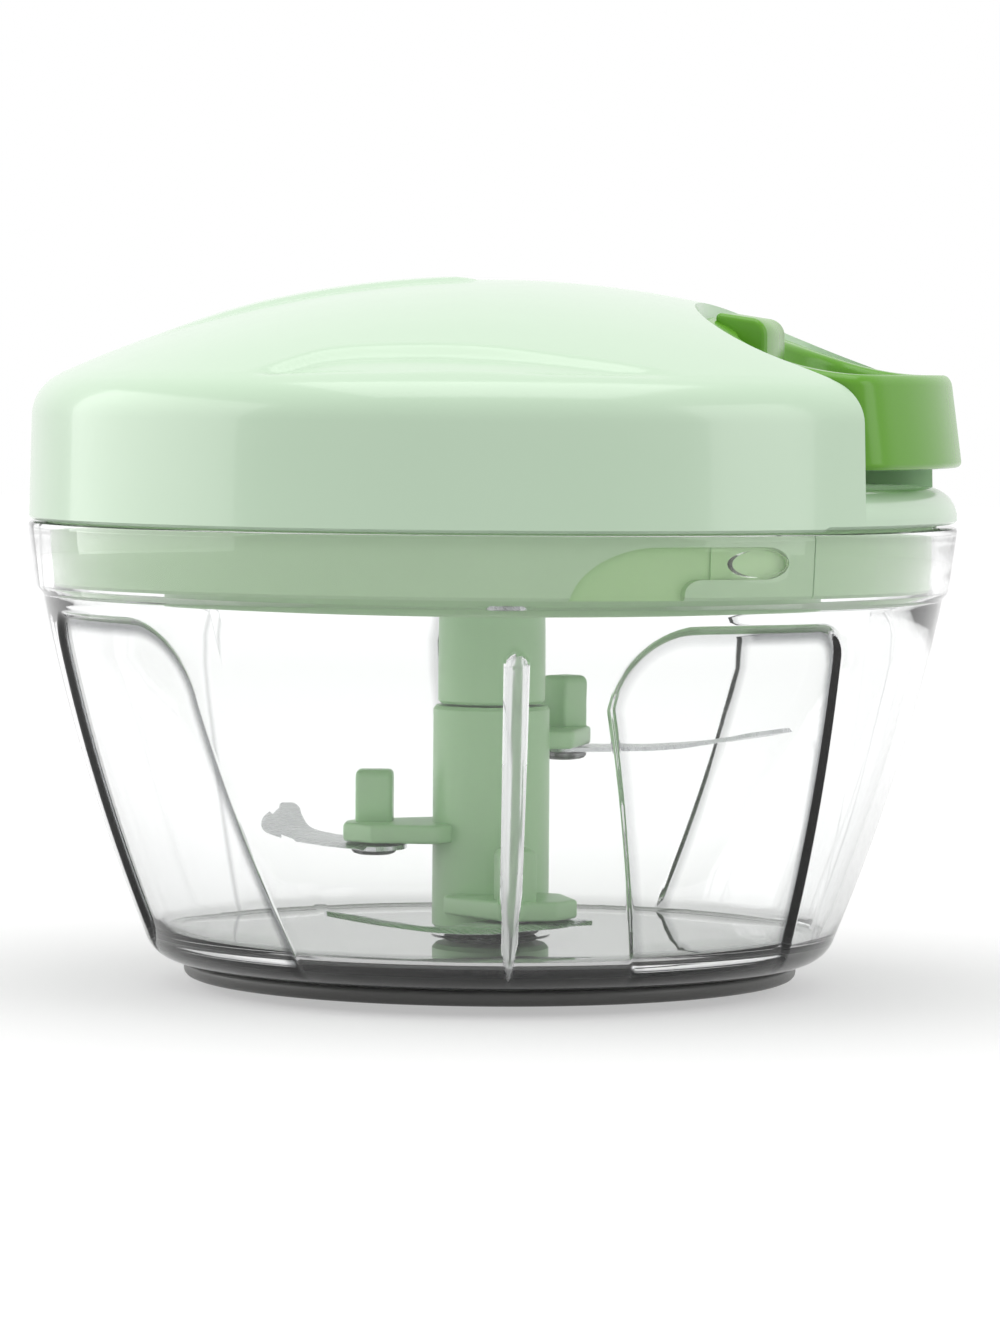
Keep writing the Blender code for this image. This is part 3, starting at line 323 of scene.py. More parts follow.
def round_corners(points, radii, steps=5):
    """A closed outline whose corners are arcs; radii gives one radius a corner, 0 for none."""
    made = []
    count = len(points)
    for i, radius in enumerate(radii):
        corner = Vector(points[i])
        if radius == 0.0:
            made.append(tuple(corner))
            continue
        before = (Vector(points[i - 1]) - corner).normalized()
        after = (Vector(points[(i + 1) % count]) - corner).normalized()
        half = before.angle(after) / 2
        reach = radius / math.tan(half)
        centre = corner + (before + after).normalized() * radius / math.sin(half)
        first = corner + before * reach - centre
        sweep = first.angle_signed(corner + after * reach - centre)
        for step in range(steps + 1):
            arm = first.copy()
            arm.rotate(Matrix.Rotation(-sweep * step / steps, 2))
            made.append(tuple(centre + arm))
    return made


def transform(obj, matrix):
    obj.data.transform(matrix)
    return obj


def upright(obj):
    """Turns a prism made in X and Y so that it stands along +X, its outline in Y and Z."""
    return transform(obj, Matrix(((0, 0, 1), (1, 0, 0), (0, 1, 0))).to_4x4())


def turn(obj, degrees):
    return transform(obj, Matrix.Rotation(math.radians(degrees), 4, "Z"))


def shape(obj, cuts=(), joins=(), keeps=(), bevel=0.0, bevel_angle=45.0, segments=3):
    """Applies booleans and an edge bevel, then deletes the cutters."""
    tools = []
    for others, how in ((keeps, "INTERSECT"), (joins, "UNION"), (cuts, "DIFFERENCE")):
        for other in others:
            change = obj.modifiers.new(other.name, "BOOLEAN")
            change.operation = how
            change.object = other
            change.solver = "EXACT"
            if obj.data.materials:
                change.material_mode = "TRANSFER"
            tools.append(other)
    if bevel:
        edge = obj.modifiers.new("edge", "BEVEL")
        edge.width = bevel * MM
        edge.segments = segments
        edge.limit_method = "ANGLE"
        edge.angle_limit = math.radians(bevel_angle)
        edge.use_clamp_overlap = True
        edge.miter_outer = "MITER_ARC"
    graph = bpy.context.evaluated_depsgraph_get()
    applied = bpy.data.meshes.new_from_object(obj.evaluated_get(graph))
    obj.modifiers.clear()
    obj.data = applied
    for tool in tools:
        bpy.data.objects.remove(tool, do_unlink=True)
    smooth(obj)
    return obj


def ease(share):
    """A smooth step from 0 to 1."""
    share = min(max(share, 0.0), 1.0)
    return share * share * (3.0 - 2.0 * share)


def along(points, x):
    """Height of a smooth curve through points of rising x, held level past its ends."""
    if x <= points[0][0]:
        return points[0][1]
    for i in range(len(points) - 1):
        (x0, y0), (x1, y1) = points[i], points[i + 1]
        if x > x1:
            continue
        xa, ya = points[max(i - 1, 0)]
        xb, yb = points[min(i + 2, len(points) - 1)]
        share = (x - x0) / (x1 - x0)
        start = (y1 - ya) / (x1 - xa) * (x1 - x0)
        end = (yb - y0) / (xb - x0) * (x1 - x0)
        square = share * share
        cube = square * share
        return ((2 * cube - 3 * square + 1) * y0 + (cube - 2 * square + share) * start
                + (3 * square - 2 * cube) * y1 + (cube - square) * end)
    return points[-1][1]


# ---------------------------------------------------------------- materials


class Finish:
    """A node material that is built up step by step round one Principled shader."""

    def __init__(self, name):
        self.material = bpy.data.materials.new(name)
        self.material.use_nodes = True
        self.nodes = self.material.node_tree.nodes
        self.links = self.material.node_tree.links
        self.shader = self.nodes["Principled BSDF"]
        self.place = self.nodes.new("ShaderNodeTexCoord").outputs["Object"]

    def set(self, **values):
        for name, value in values.items():
            self.shader.inputs[name.replace("_", " ")].default_value = value
        return self

    def noise(self, scale, detail=3.0, stretch=(1.0, 1.0, 1.0)):
        mapping = self.nodes.new("ShaderNodeMapping")
        mapping.inputs["Scale"].default_value = stretch
        self.links.new(self.place, mapping.inputs["Vector"])
        noise = self.nodes.new("ShaderNodeTexNoise")
        noise.inputs["Scale"].default_value = scale
        noise.inputs["Detail"].default_value = detail
        self.links.new(mapping.outputs["Vector"], noise.inputs["Vector"])
        return noise.outputs["Fac"]

    def ramp(self, source, stops):
        ramp = self.nodes.new("ShaderNodeValToRGB")
        elements = ramp.color_ramp.elements
        while len(elements) < len(stops):
            elements.new(1.0)
        for element, (place, colour) in zip(elements, stops):
            element.position = place
            element.color = (*colour, 1.0)
        self.links.new(source, ramp.inputs["Fac"])
        return ramp.outputs["Color"]

    def level(self, source, low, high):
        spread = self.nodes.new("ShaderNodeMapRange")
        spread.inputs["To Min"].default_value = low
        spread.inputs["To Max"].default_value = high
        self.links.new(source, spread.inputs["Value"])
        return spread.outputs["Result"]

    def feed(self, name, source):
        self.links.new(source, self.shader.inputs[name])
        return self

    def tint(self, source, dark, light):
        return self.feed("Base Color", self.ramp(source, [(0.3, dark), (0.7, light)]))

    def rough(self, source, low, high):
        return self.feed("Roughness", self.level(source, low, high))

    def bump(self, source, distance, strength=1.0):
        bump = self.nodes.new("ShaderNodeBump")
        bump.inputs["Distance"].default_value = distance * MM
        bump.inputs["Strength"].default_value = strength
        self.links.new(source, bump.inputs["Height"])
        self.links.new(bump.outputs["Normal"], self.shader.inputs["Normal"])
        return self


def moulded(name, light, dark, roughness, grain=0.02):
    """Moulded plastic: slow drift of colour, faint flow marks and a fine orange-peel skin."""
    made = Finish(name)
    drift = made.noise(28.0, 2.0)
    made.tint(drift, dark, light)
    gloss = made.noise(160.0, 4.0)
    made.rough(gloss, roughness * 0.85, roughness * 1.2)
    made.bump(made.noise(900.0, 2.0), grain, 0.35)
    return made


def mint():
    made = moulded("mint_plastic", (0.625, 0.812, 0.610), (0.605, 0.797, 0.590), 0.22)
    return made.set(Coat_Weight=0.35, Coat_Roughness=0.05, IOR=1.50).material


# A darker, more saturated copy of the mint for the lid's underside: painted shade for the skirt and
# pan, which sit in shadow behind the clear rim.
def mint_under():
    made = moulded("mint_underside_painted_shade", (0.500, 0.720, 0.440), (0.480, 0.700, 0.420), 0.36)
    return made.set(IOR=1.50).material


# A darker, yellower mint for the bayonet tracks: painted shade in their hollows and painted glow for
# light coming through the thin skirt wall.
def mint_track():
    made = moulded("mint_track_painted_shade_and_glow", (0.450, 0.720, 0.330), (0.430, 0.700, 0.310), 0.36)
    return made.set(IOR=1.50).material


# The rotor's mint. Its colour is brightened as painted light, to make up for the light that the clear
# bowl holds back from the parts inside it.
def mint_inner():
    made = moulded("mint_inner_painted_light", (0.490, 0.750, 0.440), (0.470, 0.730, 0.420), 0.34)
    return made.set(IOR=1.50).material


def green():
    made = moulded("green_plastic", (0.140, 0.400, 0.022), (0.125, 0.375, 0.018), 0.22)
    return made.set(IOR=1.45).material


def white_plastic():
    made = moulded("white_plastic", (0.800, 0.810, 0.780), (0.770, 0.780, 0.745), 0.42)
    return made.set(IOR=1.50).material


def clear_plastic():
    """Clear plastic, darkened by painted shade where seen edge on and along the panels' steps and
    ribs.
    """
    made = Finish("clear_plastic")
    # Painted shade: the colour darkens where the surface turns edge on.
    facing = made.nodes.new("ShaderNodeLayerWeight")
    facing.inputs["Blend"].default_value = 0.5
    clear = (0.945, 0.950, 0.948)
    rim = made.ramp(facing.outputs["Facing"], [(0.0, clear), (0.75, (0.925, 0.930, 0.930)),
                                               (0.92, (0.74, 0.75, 0.75)), (1.0, (0.58, 0.59, 0.59))])
    # Painted shade along the panels' steps and the ribs, read from the 'edge' mark.
    steps = made.nodes.new("ShaderNodeAttribute")
    steps.attribute_name = "edge"
    painted_edge_shade = made.ramp(steps.outputs["Fac"], [(0.0, (1.0, 1.0, 1.0)), (0.25, (0.80, 0.80, 0.81)),
                                             (1.0, (0.10, 0.105, 0.11))])
    both = made.nodes.new("ShaderNodeMix")
    both.data_type = "RGBA"
    both.blend_type = "MULTIPLY"
    both.inputs["Factor"].default_value = 1.0
    made.links.new(rim, both.inputs["A"])
    made.links.new(painted_edge_shade, both.inputs["B"])
    made.feed("Base Color", both.outputs["Result"])
    haze = made.noise(90.0, 3.0)
    made.rough(haze, 0.0, 0.03)
    made.bump(made.noise(45.0, 2.0), 0.02, 0.2)
    return made.set(Transmission_Weight=1.0, IOR=1.49).material


def bowl_floor_painted_shade():
    """The bowl's floor, seen at a flat angle over the dark pad: grey half-metal painted shade that
    mirrors what stands on it.
    """
    made = Finish("bowl_floor_painted_shade")
    tone_noise = made.noise(60.0, 2.0)
    made.tint(tone_noise, (0.46, 0.462, 0.46), (0.50, 0.502, 0.50))
    made.rough(made.noise(140.0, 3.0), 0.01, 0.03)
    return made.set(Metallic=0.5, IOR=1.49).material


def pale_rib_painted_light():
    """The thick ribs get a pale, partly diffuse finish, painted light for the white they refract:
    pale rods.
    """
    made = Finish("pale_rib_painted_light")
    tone_noise = made.noise(80.0, 3.0, (1.0, 1.0, 0.3))
    made.tint(tone_noise, (0.80, 0.81, 0.81), (0.88, 0.89, 0.89))
    made.rough(tone_noise, 0.16, 0.24)
    return made.set(Transmission_Weight=0.7, IOR=1.49).material


def grey_pad():
    made = moulded("grey_pad_plastic", (0.105, 0.105, 0.100), (0.085, 0.085, 0.082), 0.34, 0.05)
    return made.set(IOR=1.48).material


def steel():
    made = Finish("brushed_steel")
    streaks = made.noise(120.0, 5.0, (1.0, 22.0, 1.0))
    made.tint(streaks, (0.52, 0.53, 0.54), (0.64, 0.65, 0.66))
    made.rough(streaks, 0.20, 0.34)
    made.bump(streaks, 0.01, 0.4)
    return made.set(Metallic=1.0).material


def dark_steel():
    made = Finish("dark_steel")
    blotch = made.noise(420.0, 4.0)
    made.tint(blotch, (0.16, 0.16, 0.16), (0.36, 0.36, 0.36))
    made.rough(blotch, 0.28, 0.50)
    made.bump(blotch, 0.03, 0.5)
    return made.set(Metallic=1.0).material


# ---------------------------------------------------------------- pad and bowl


def make_pad():
    inner = PAD_R - PAD_LIP
    lip = round_corners([(inner, PAD_FLOOR), (PAD_R, 0.0), (PAD_R, PAD_H), (inner, PAD_H)],
                        [0.0, 0.9, 0.6, 0.4])
    profile = [(0.0, 0.0), *lip[1:], (inner, PAD_FLOOR), (0.0, PAD_FLOOR)]
    pad = turned("pad", profile, 192)
    return finish(pad, "bowl", ["base_pad"], "grey_pad", GREY_PAD)


def side_radius(z):
    """Outer radius of the bowl's swelling side."""
    share = (z - BOWL_HEEL_Z) / (BOWL_SHOULDER_Z - BOWL_HEEL_Z)
    line = BOWL_HEEL_R + (BOWL_SHOULDER_R - BOWL_HEEL_R) * share
    return line + BOWL_SIDE_SWELL * 4.0 * share * (1.0 - share)


def heel_round(radius, foot_r, inset, foot_z):
    """Rounded heel between the side and the foot, as points from the side down."""
    heel = Vector((side_radius(BOWL_HEEL_Z) - inset, BOWL_HEEL_Z))
    above = Vector((side_radius(BOWL_HEEL_Z + 1.0) - inset, BOWL_HEEL_Z + 1.0))
    slope = (above.x - heel.x) / (above.y - heel.y)
    corner = (heel.x - slope * (heel.y - foot_z), foot_z)
    points = round_corners([tuple(above), corner, (foot_r, foot_z)], [0.0, radius, 0.0], 12)
    return points[1:-1]


def bowl_rows():
    """The bowl's section from its underside round the rim to the bore for the pin."""
    heel = heel_round(BOWL_HEEL_ROUND, BOWL_FOOT_R, 0.0, BOWL_STEP_Z)
    top_z = heel[0][1]
    rows = [(0.0, BOWL_FOOT_Z), (BOSS_R, BOWL_FOOT_Z), (BOSS_R, RECESS_Z), (RECESS_R, RECESS_Z),
            (RECESS_R, BOWL_FOOT_Z), (BOWL_FOOT_R - 0.4, BOWL_FOOT_Z),
            (BOWL_FOOT_R, BOWL_FOOT_Z + 0.4), (BOWL_FOOT_R, BOWL_STEP_Z), *reversed(heel)]
    close_low, close_high = CLOSE_ROWS
    levels = [top_z + (close_low - top_z) * i / 20 for i in range(1, 21)]
    levels += [close_low + (close_high - close_low) * i / 42 for i in range(1, 43)]
    rows += [(side_radius(z), z) for z in levels]
    rows += [(BOWL_SHOULDER_R + 0.05, BOWL_SHOULDER_Z - 0.15),
             (BOWL_SHOULDER_R + 0.35, BOWL_SHOULDER_Z + 0.2),
             (BOWL_BAND_R - 0.12, BAND_FOOT_Z - 0.3), (BOWL_BAND_R, BAND_FOOT_Z)]
    rows += [(BOWL_BAND_R + (BOWL_RIM_R - BOWL_BAND_R) * share, BAND_FOOT_Z + BAND_H * share)
             for share in (0.25, 0.5, 0.75, 0.96)]
    rows += [(BOWL_RIM_R - 0.02, BOWL_TOP - 0.45), (BOWL_RIM_R - 0.2, BOWL_TOP - 0.1),
             (BOWL_RIM_R - 0.5, BOWL_TOP)]
    inner_top = BOWL_RIM_R - RIM_WALL
    rows += [(inner_top + 0.3, BOWL_TOP), (inner_top, BOWL_TOP - 0.3),
             (INNER_SHOULDER_R + 0.4, BAND_FOOT_Z - 0.1), (INNER_SHOULDER_R, BOWL_SHOULDER_Z)]
    inner_heel = heel_round(BOWL_HEEL_ROUND - BOWL_WALL, BOWL_FOOT_R, BOWL_WALL, BOWL_FLOOR_Z)
    inner_top_z = inner_heel[0][1]
    for i in range(1, 12):
        z = BOWL_SHOULDER_Z + (inner_top_z - BOWL_SHOULDER_Z) * i / 12
        rows.append((side_radius(z) - BOWL_WALL, z))
    rows += inner_heel
    rows += [(BOSS_R, BOWL_FLOOR_Z), (BOSS_R - 0.2, BOSS_TOP), (BORE_R, BOSS_TOP), (BORE_R, BORE_Z),
             (0.0, BORE_Z)]
    return rows


def panel_edge(span, corner, z):
    """How far a panel's edge stands from its middle, from its sill up to its corner."""
    under_arch, at_sill = span
    share = (z - PANEL_SILL) / (PANEL_TOP - corner - PANEL_SILL)
    return at_sill + (under_arch - at_sill) * min(max(share, 0.0), 1.0)


def half_columns(corner):
    """Places from a panel's middle, 0, past its edge, 1, close together at its corner and step."""
    arch = PANEL_EDGE - corner
    coarse = [arch * i / 6 for i in range(6)]
    steps = round((corner - EDGE_ZONE) / CORNER_STEP)
    middle = [arch + (corner - EDGE_ZONE) * i / steps for i in range(steps)]
    close_steps = round((EDGE_ZONE + PANEL_BEYOND) / EDGE_STEP)
    close = [PANEL_EDGE - EDGE_ZONE + EDGE_STEP * i for i in range(close_steps)]
    return [place / PANEL_EDGE for place in coarse + middle + close]


NARROW_PLACES = half_columns(PANEL_CORNER)
WIDE_PLACES = half_columns(PANEL_WIDE_CORNER)


def panel_angles(panel, r, z):
    """Angles of the columns of one panel and of the strips beside it."""
    middle, side, wide_span, narrow_span = panel[:4]
    wide_edge = panel_edge(wide_span, PANEL_WIDE_CORNER, z)
    narrow_edge = panel_edge(narrow_span, PANEL_CORNER, z)
    narrow = [-narrow_edge * place for place in NARROW_PLACES[1:]][::-1]
    wide = [wide_edge * place for place in WIDE_PLACES]
    one = [side * across for across in narrow + wide][::side]
    reach = max(r, COLUMNS_FROM_R)
    return [math.radians(middle) + math.asin(across / reach) for across in one]


def column_angles(r, z):
    """Angles of the bowl's columns at this radius and height. They run along the panels' edges."""
    spans = [panel_angles(panel, r, z) for panel in PANELS]
    rib = [math.radians(RIBS[0] + RIB_STEP * step) for step in range(-9, 10)]
    made = []
    for i, span in enumerate(spans):
        last = span[-1]
        first = spans[i + 1][0] if i + 1 < len(spans) else spans[0][0] + math.tau
        if i > 0:
            made += [*span, *(last + (first - last) * k / 8 for k in range(1, 8))]
            continue
        before = [last + (rib[0] - last) * k / 5 for k in range(1, 5)]
        after = [rib[-1] + (first - rib[-1]) * k / 3 for k in range(1, 3)]
        made += [*span, *before, *rib, *after]
    return made


def turn_between(angle, degrees):
    """Signed turn in radians from a place given in degrees."""
    return (angle - math.radians(degrees) + math.pi) % math.tau - math.pi


def panel_relief(r, z, angle):
    """How deep a panel lies below the bowl's skin here, and how much painted shade darkens its edge.
    """
    for middle, side, wide_span, narrow_span, wide_shade, narrow_shade, narrow_broad in PANELS:
        away = turn_between(angle, middle) * side
        if abs(away) > PANEL_REACH:
            continue
        across = r * math.sin(away)
        corner = PANEL_WIDE_CORNER if across > 0.0 else PANEL_CORNER
        edge = panel_edge(wide_span if across > 0.0 else narrow_span, corner, z)
        over_u = abs(across) - (edge - corner)
        over_z = z - (PANEL_TOP - corner)
        if over_u > 0.0 and over_z > 0.0:
            inside = corner - math.hypot(over_u, over_z)
        else:
            inside = min(edge - abs(across), PANEL_TOP - z)
        if inside <= 0.0:
            return 0.0, 0.0
        depth = PANEL_DEPTH * ease(inside / PANEL_EASE) * ease((z - PANEL_FADE_Z) / PANEL_FADE_H)
        broad = narrow_broad if across < 0.0 and over_z < 0.0 else WIDE_SHADE_W
        shade = narrow_shade if across < 0.0 else wide_shade
        share = min(inside / broad, 1.0)
        return depth, 4.0 * share * (1.0 - share) * shade * ease(z - SHADE_LOW_Z)
    return 0.0, 0.0


def rib_rise(r, z, angle):
    """How far a slim upright rib stands above the bowl's skin here, and how much painted shade
    darkens it.
    """
    if not RIB_LOW < z < RIB_HIGH:
        return 0.0, 0.0
    width = RIB_HALF * min(1.0, 0.35 + (z - RIB_LOW) / RIB_TAPER_H)
    head = math.sqrt(max(0.0, (RIB_HIGH - z) / RIB_END_H))
    end = min(1.0, head, (z - RIB_LOW) / RIB_FOOT_H + 0.15)
    for degrees in RIBS:
        across = abs(r * math.sin(turn_between(angle, degrees))) / (width * max(end, 0.2))
        if across < 1.0 and abs(turn_between(angle, degrees)) < 0.5:
            return RIB_PROUD * end * math.sqrt(1.0 - across * across), end * (0.2 + 0.5 * across ** 3)
    return 0.0, 0.0


def shade_steps(bowl):
    """Marks the skin with painted shade along the panels' steps and the ribs, to darken the clear
    plastic.
    """
    shades = []
    for vert in bowl.data.vertices:
        x, y, z = vert.co / MM
        r, angle = math.hypot(x, y), math.atan2(y, x)
        outside = SHADE_LOW_Z < z < BOWL_SHOULDER_Z and r > side_radius(z) - SKIN
        shades.append(max(panel_relief(r, z, angle)[1], rib_rise(r, z, angle)[1]) if outside else 0.0)
    bowl.data.attributes.new("edge", "FLOAT", "POINT").data.foreach_set("value", shades)


def make_bowl():
    rows = bowl_rows()
    foot_rows = next(i for i, (r, z) in enumerate(rows) if z > BOWL_FOOT_Z and r > BOWL_FOOT_R)
    outer_end = next(i for i, (r, z) in enumerate(rows) if z > BOWL_SHOULDER_Z - 0.2)
    verts = []
    index = []
    columns = len(column_angles(BOWL_RIM_R, BOWL_TOP))
    for row, (r, z) in enumerate(rows):
        if r == 0.0:
            index.append([len(verts)] * columns)
            verts.append((0.0, 0.0, z))
            continue
        index.append([len(verts) + i for i in range(columns)])
        before, after = rows[row - 1], rows[min(row + 1, len(rows) - 1)]
        out = Vector((after[1] - before[1], before[0] - after[0])).normalized()
        relief = foot_rows <= row < outer_end
        for angle in column_angles(r, z):
            sink = panel_relief(r, z, angle)[0] if relief else 0.0
            rise = rib_rise(r, z, angle)[0] if relief else 0.0
            shift = rise or -sink
            rr = r + out.x * shift
            verts.append((rr * math.cos(angle), rr * math.sin(angle), z + out.y * shift))
    bowl = make_mesh("bowl_clear", verts, band_faces(list(zip(index, index[1:])), columns), 50.0)
    lugs = []
    for k, degrees in enumerate(LUGS):
        oval = ellipse_arc((0.0, 0.0), LUG_HALF_LENGTH, LUG_HALF_H, 0, 345, 23)
        lug = prism(f"lug_{k}", oval, LUG_INNER_R, BOWL_RIM_R - BOWL_WALL)
        upright(lug)
        transform(lug, Matrix.Translation((0.0, 0.0, LUG_Z * MM)))
        lugs.append(turn(lug, degrees))
    shape(bowl, joins=lugs)
    shade_steps(bowl)
    for face in bowl.data.polygons:
        x, y, z = face.center / MM
        r = math.hypot(x, y)
        # Faces of the bowl's floor take the grey sheet of painted shade.
        on_floor = abs(z - BOWL_FLOOR_Z) < 0.3 and face.normal.z > 0.9
        # Faces of the ribs take the pale finish of painted light.
        on_rib = r > side_radius(z) and rib_rise(r, z, math.atan2(y, x))[0] > 0.2
        face.material_index = 1 if on_floor else 2 if on_rib else 0
    return finish(bowl, "bowl", ["bowl"], "clear_bowl", CLEAR, BOWL_FLOOR_PAINTED_SHADE, PALE_RIB_PAINTED_LIGHT)


# ---------------------------------------------------------------- lid

# Plan of the swept line across the front of the dome, and of the crest below it
SWEEP = ((-40.0, -60.0), (-30.4, -58.6), (-18.5, -55.7), (-11.2, -51.6), (-1.0, -50.8),
         (9.6, -50.2), (20.7, -50.0), (32.5, -48.2), (38.2, -47.2), (43.9, -45.6), (52.1, -42.5))
CREST = ((-40.0, -62.0), (-18.8, -61.0), (-10.7, -60.4), (-3.3, -59.4), (5.4, -57.6),
         (15.0, -55.3), (24.0, -52.6), (32.0, -50.0))
SWEEP_DEPTH = 1.15
SWEEP_STEP_W = 2.2
SWEEP_LEAST_W = 1.6
SWEEP_LEFT_X = -37.0
SWEEP_LEFT_W = 14.0
SWEEP_RIGHT_X = 8.0
SWEEP_RIGHT_W = 16.0
SWEEP_VALLEY_END_X = 28.0
SWEEP_SLOPE_W = 22.0
SWEEP_SLOPE_SHARE = 0.8
LEAF_RISE = 0.58
LEAF_TURN = math.radians(17.0)
LEAF_START = -52.0
LEAF_END = -3.0
LEAF_FORWARD = 10.4
LEAF_FADE_W = 20.0
LEAF_TIP_W = 3.0
LEAF_LEAST_W = 5.0
LEAF_SWELL_W = 14.0
LEAF_STEP_W = 1.6
LEAF_SLOPE_SHARE = 0.6


def sweep_sink(x, y):
    """Depth of the hollow between the swept line across the lid's front and the crest below it."""
    beyond = along(SWEEP, x) - y
    if y > 0.0 or beyond <= 0.0:
        return 0.0
    step = ease(beyond / SWEEP_STEP_W)
    left = ease((x - SWEEP_LEFT_X) / SWEEP_LEFT_W)
    width = max(along(SWEEP, x) - along(CREST, x), SWEEP_LEAST_W)
    past_step = max(beyond - SWEEP_STEP_W, 0.0)
    valley = max(0.0, 1.0 - past_step / width) if x < SWEEP_VALLEY_END_X else 0.0
    to_brow = max(0.0, 1.0 - beyond / SWEEP_SLOPE_W)
    right = ease((x - SWEEP_RIGHT_X) / SWEEP_RIGHT_W)
    slope = SWEEP_SLOPE_SHARE * to_brow * right
    return step * left * (SWEEP_DEPTH * valley * (1.0 - right) + slope)


def leaf_rise(x, y):
    """Height of the raised leaf on the dome's left, which starts near the dome's top."""
    across = x * math.cos(LEAF_TURN) + y * math.sin(LEAF_TURN)
    back = y * math.cos(LEAF_TURN) - x * math.sin(LEAF_TURN) + LEAF_FORWARD
    if not LEAF_START < across < LEAF_END:
        return 0.0
    along_leaf = across - LEAF_START
    rise = ease(along_leaf / LEAF_FADE_W) * math.sqrt(min(1.0, (LEAF_END - across) / LEAF_TIP_W))
    bulge = math.sin(math.pi * along_leaf / (LEAF_END - LEAF_START))
    width = LEAF_LEAST_W + LEAF_SWELL_W * bulge
    if not 0.0 < back < width:
        return 0.0
    slope = ease((width - back) / (width * LEAF_SLOPE_SHARE))
    return LEAF_RISE * rise * ease(back / LEAF_STEP_W) * slope


def dome_z(r, drop=0.0):
    radius = DOME_R - drop
    return DOME_TOP - DOME_R + math.sqrt(radius * radius - r * r)


def lid_profile(inset, foot_z, dome_rows):
    """Section of the lid's outside, or of its inside when inset, from its top to its foot."""
    brow_r = LID_BROW_R - inset
    corner = (brow_r, dome_z(brow_r, inset))
    before = (brow_r - 8.0, dome_z(brow_r - 8.0, inset))
    foot = (LID_FOOT_R - inset, foot_z)
    brow = round_corners([before, corner, foot], [0.0, LID_BROW_ROUND - inset, 0.0], 10)[1:-1]
    radii = [brow[0][0] * i / dome_rows for i in range(dome_rows)]
    side_r, side_z = brow[-1]
    wall = [(side_r + (foot[0] - side_r) * i / 4, side_z + (foot_z - side_z) * i / 4)
            for i in range(1, 4)]
    edge = [(foot[0], foot_z + 0.4), (foot[0] - 0.4, foot_z)] if inset == 0.0 else [foot]
    return [(r, dome_z(r, inset)) for r in radii] + brow + wall + edge + [(0.0, foot_z)]


def pocket_plan(inset, end_x, steps=48):
    half = POCKET_HALF - inset
    nose = POCKET_NOSE - inset
    return [(end_x, -half), *reversed(ellipse_arc((POCKET_X, 0.0), nose, half, 90, 270, steps)),
            (end_x, half)][::-1]


def pocket_cutter():
    """The pocket, over a floor that rounds down to the lid's wall at its open side."""
    edge = ellipse_arc((LID_FOOT_R - LEDGE_ROUND, POCKET_FLOOR - LEDGE_ROUND), LEDGE_ROUND + 0.02,
                       LEDGE_ROUND, 90, 0, 10)
    beyond = POCKET_CUT_X + 2.0
    profile = [(0.0, POCKET_FLOOR), *edge, (beyond, edge[-1][1]), (beyond, POCKET_CUT_Z),
               (0.0, POCKET_CUT_Z)]
    above = turned("above_floor", profile, 256)
    cutter = prism("pocket", pocket_plan(0.0, POCKET_CUT_X), 60.0, POCKET_CUT_Z - 2.0)
    return shape(cutter, keeps=[above])


def make_lid():
    verts, faces = lathe(lid_profile(0.0, LID_FOOT_Z, 96), 512)
    formed = []
    for x, y, z in verts:
        if z < LID_FOOT_Z + 1.0 and abs(math.degrees(math.atan2(y, x))) < SEAM_ANGLE:
            z += FOOT_LIFT
        inside = SWEEP_END_R - math.hypot(x, y)
        if z > DOME_FROM_Z and inside > 0.0:
            z += leaf_rise(x, y) - sweep_sink(x, y) * ease(inside / SWEEP_END_W)
        formed.append((x, y, z))
    shell = make_mesh("lid_dome", formed, faces)
    hollow = turned("hollow", lid_profile(LID_WALL, LID_FOOT_Z - 1.0, 16), 160)
    shape(hollow, cuts=[prism("sheath", pocket_plan(-LID_WALL, POCKET_CUT_X, 32),
                              POCKET_FLOOR - LID_WALL, POCKET_CUT_Z)])
    guide = turn_to_x(drill("guide_hole", GUIDE_HOLE_R, *GUIDE_HOLE_X, 40), GUIDE_Z)
    shape(shell, cuts=[hollow, pocket_cutter(), guide])
    return finish(shell, "lid", ["lid_shell"], "mint", MINT)


def turn_to_x(obj, z):
    """Lays a turned piece along +X at height z."""
    transform(obj, Matrix.Rotation(math.radians(90.0), 4, "Y"))
    return transform(obj, Matrix.Translation((0.0, 0.0, z * MM)))


def on_skirt(points):
    """Points in degrees from the track's middle and in height, laid on a plane before the skirt."""
    return [(SKIRT_R * math.sin(math.radians(degrees - TRACK_MIDDLE)), z) for degrees, z in points]


def track_cutter(lug):
    """The bayonet track: a wide mouth at the skirt's foot that sweeps up into a level slot."""
    end = ellipse_arc((1.0, 61.45), 3.7, 2.15, -90, 90, 12)
    sweep = ellipse_arc((-13.8, 55.0), 11.2, 8.6, 90, 180, 20)
    lip = ellipse_arc((-7.9, 57.4), 2.3, 1.9, 180, 90, 8)
    outline = on_skirt([*end, *sweep, (-10.2, 55.0), *lip])
    cutter = upright(prism("track", outline, 40.0, 70.0))
    turn(cutter, lug + TRACK_MIDDLE)
    ring = turned("track_ring", [(TRACK_R, 50.0), (70.0, 50.0), (70.0, 70.0), (TRACK_R, 70.0)], 192)
    return shape(cutter, keeps=[ring])


def track_stop(lug):
    """The low bump on the track's floor that the lug clicks over."""
    outline = on_skirt([(-6.4, 59.0), (-3.3, 59.0), (-3.3, 63.9), (-6.4, 63.9)])
    bump = upright(prism("track_stop", outline, 40.0, 70.0))
    turn(bump, lug + TRACK_MIDDLE)
    ring = turned("stop_ring", [(59.6, 50.0), (TRACK_R + 0.35, 50.0), (TRACK_R + 0.35, 70.0),
                                (59.6, 70.0)], 192)
    return shape(bump, keeps=[ring])


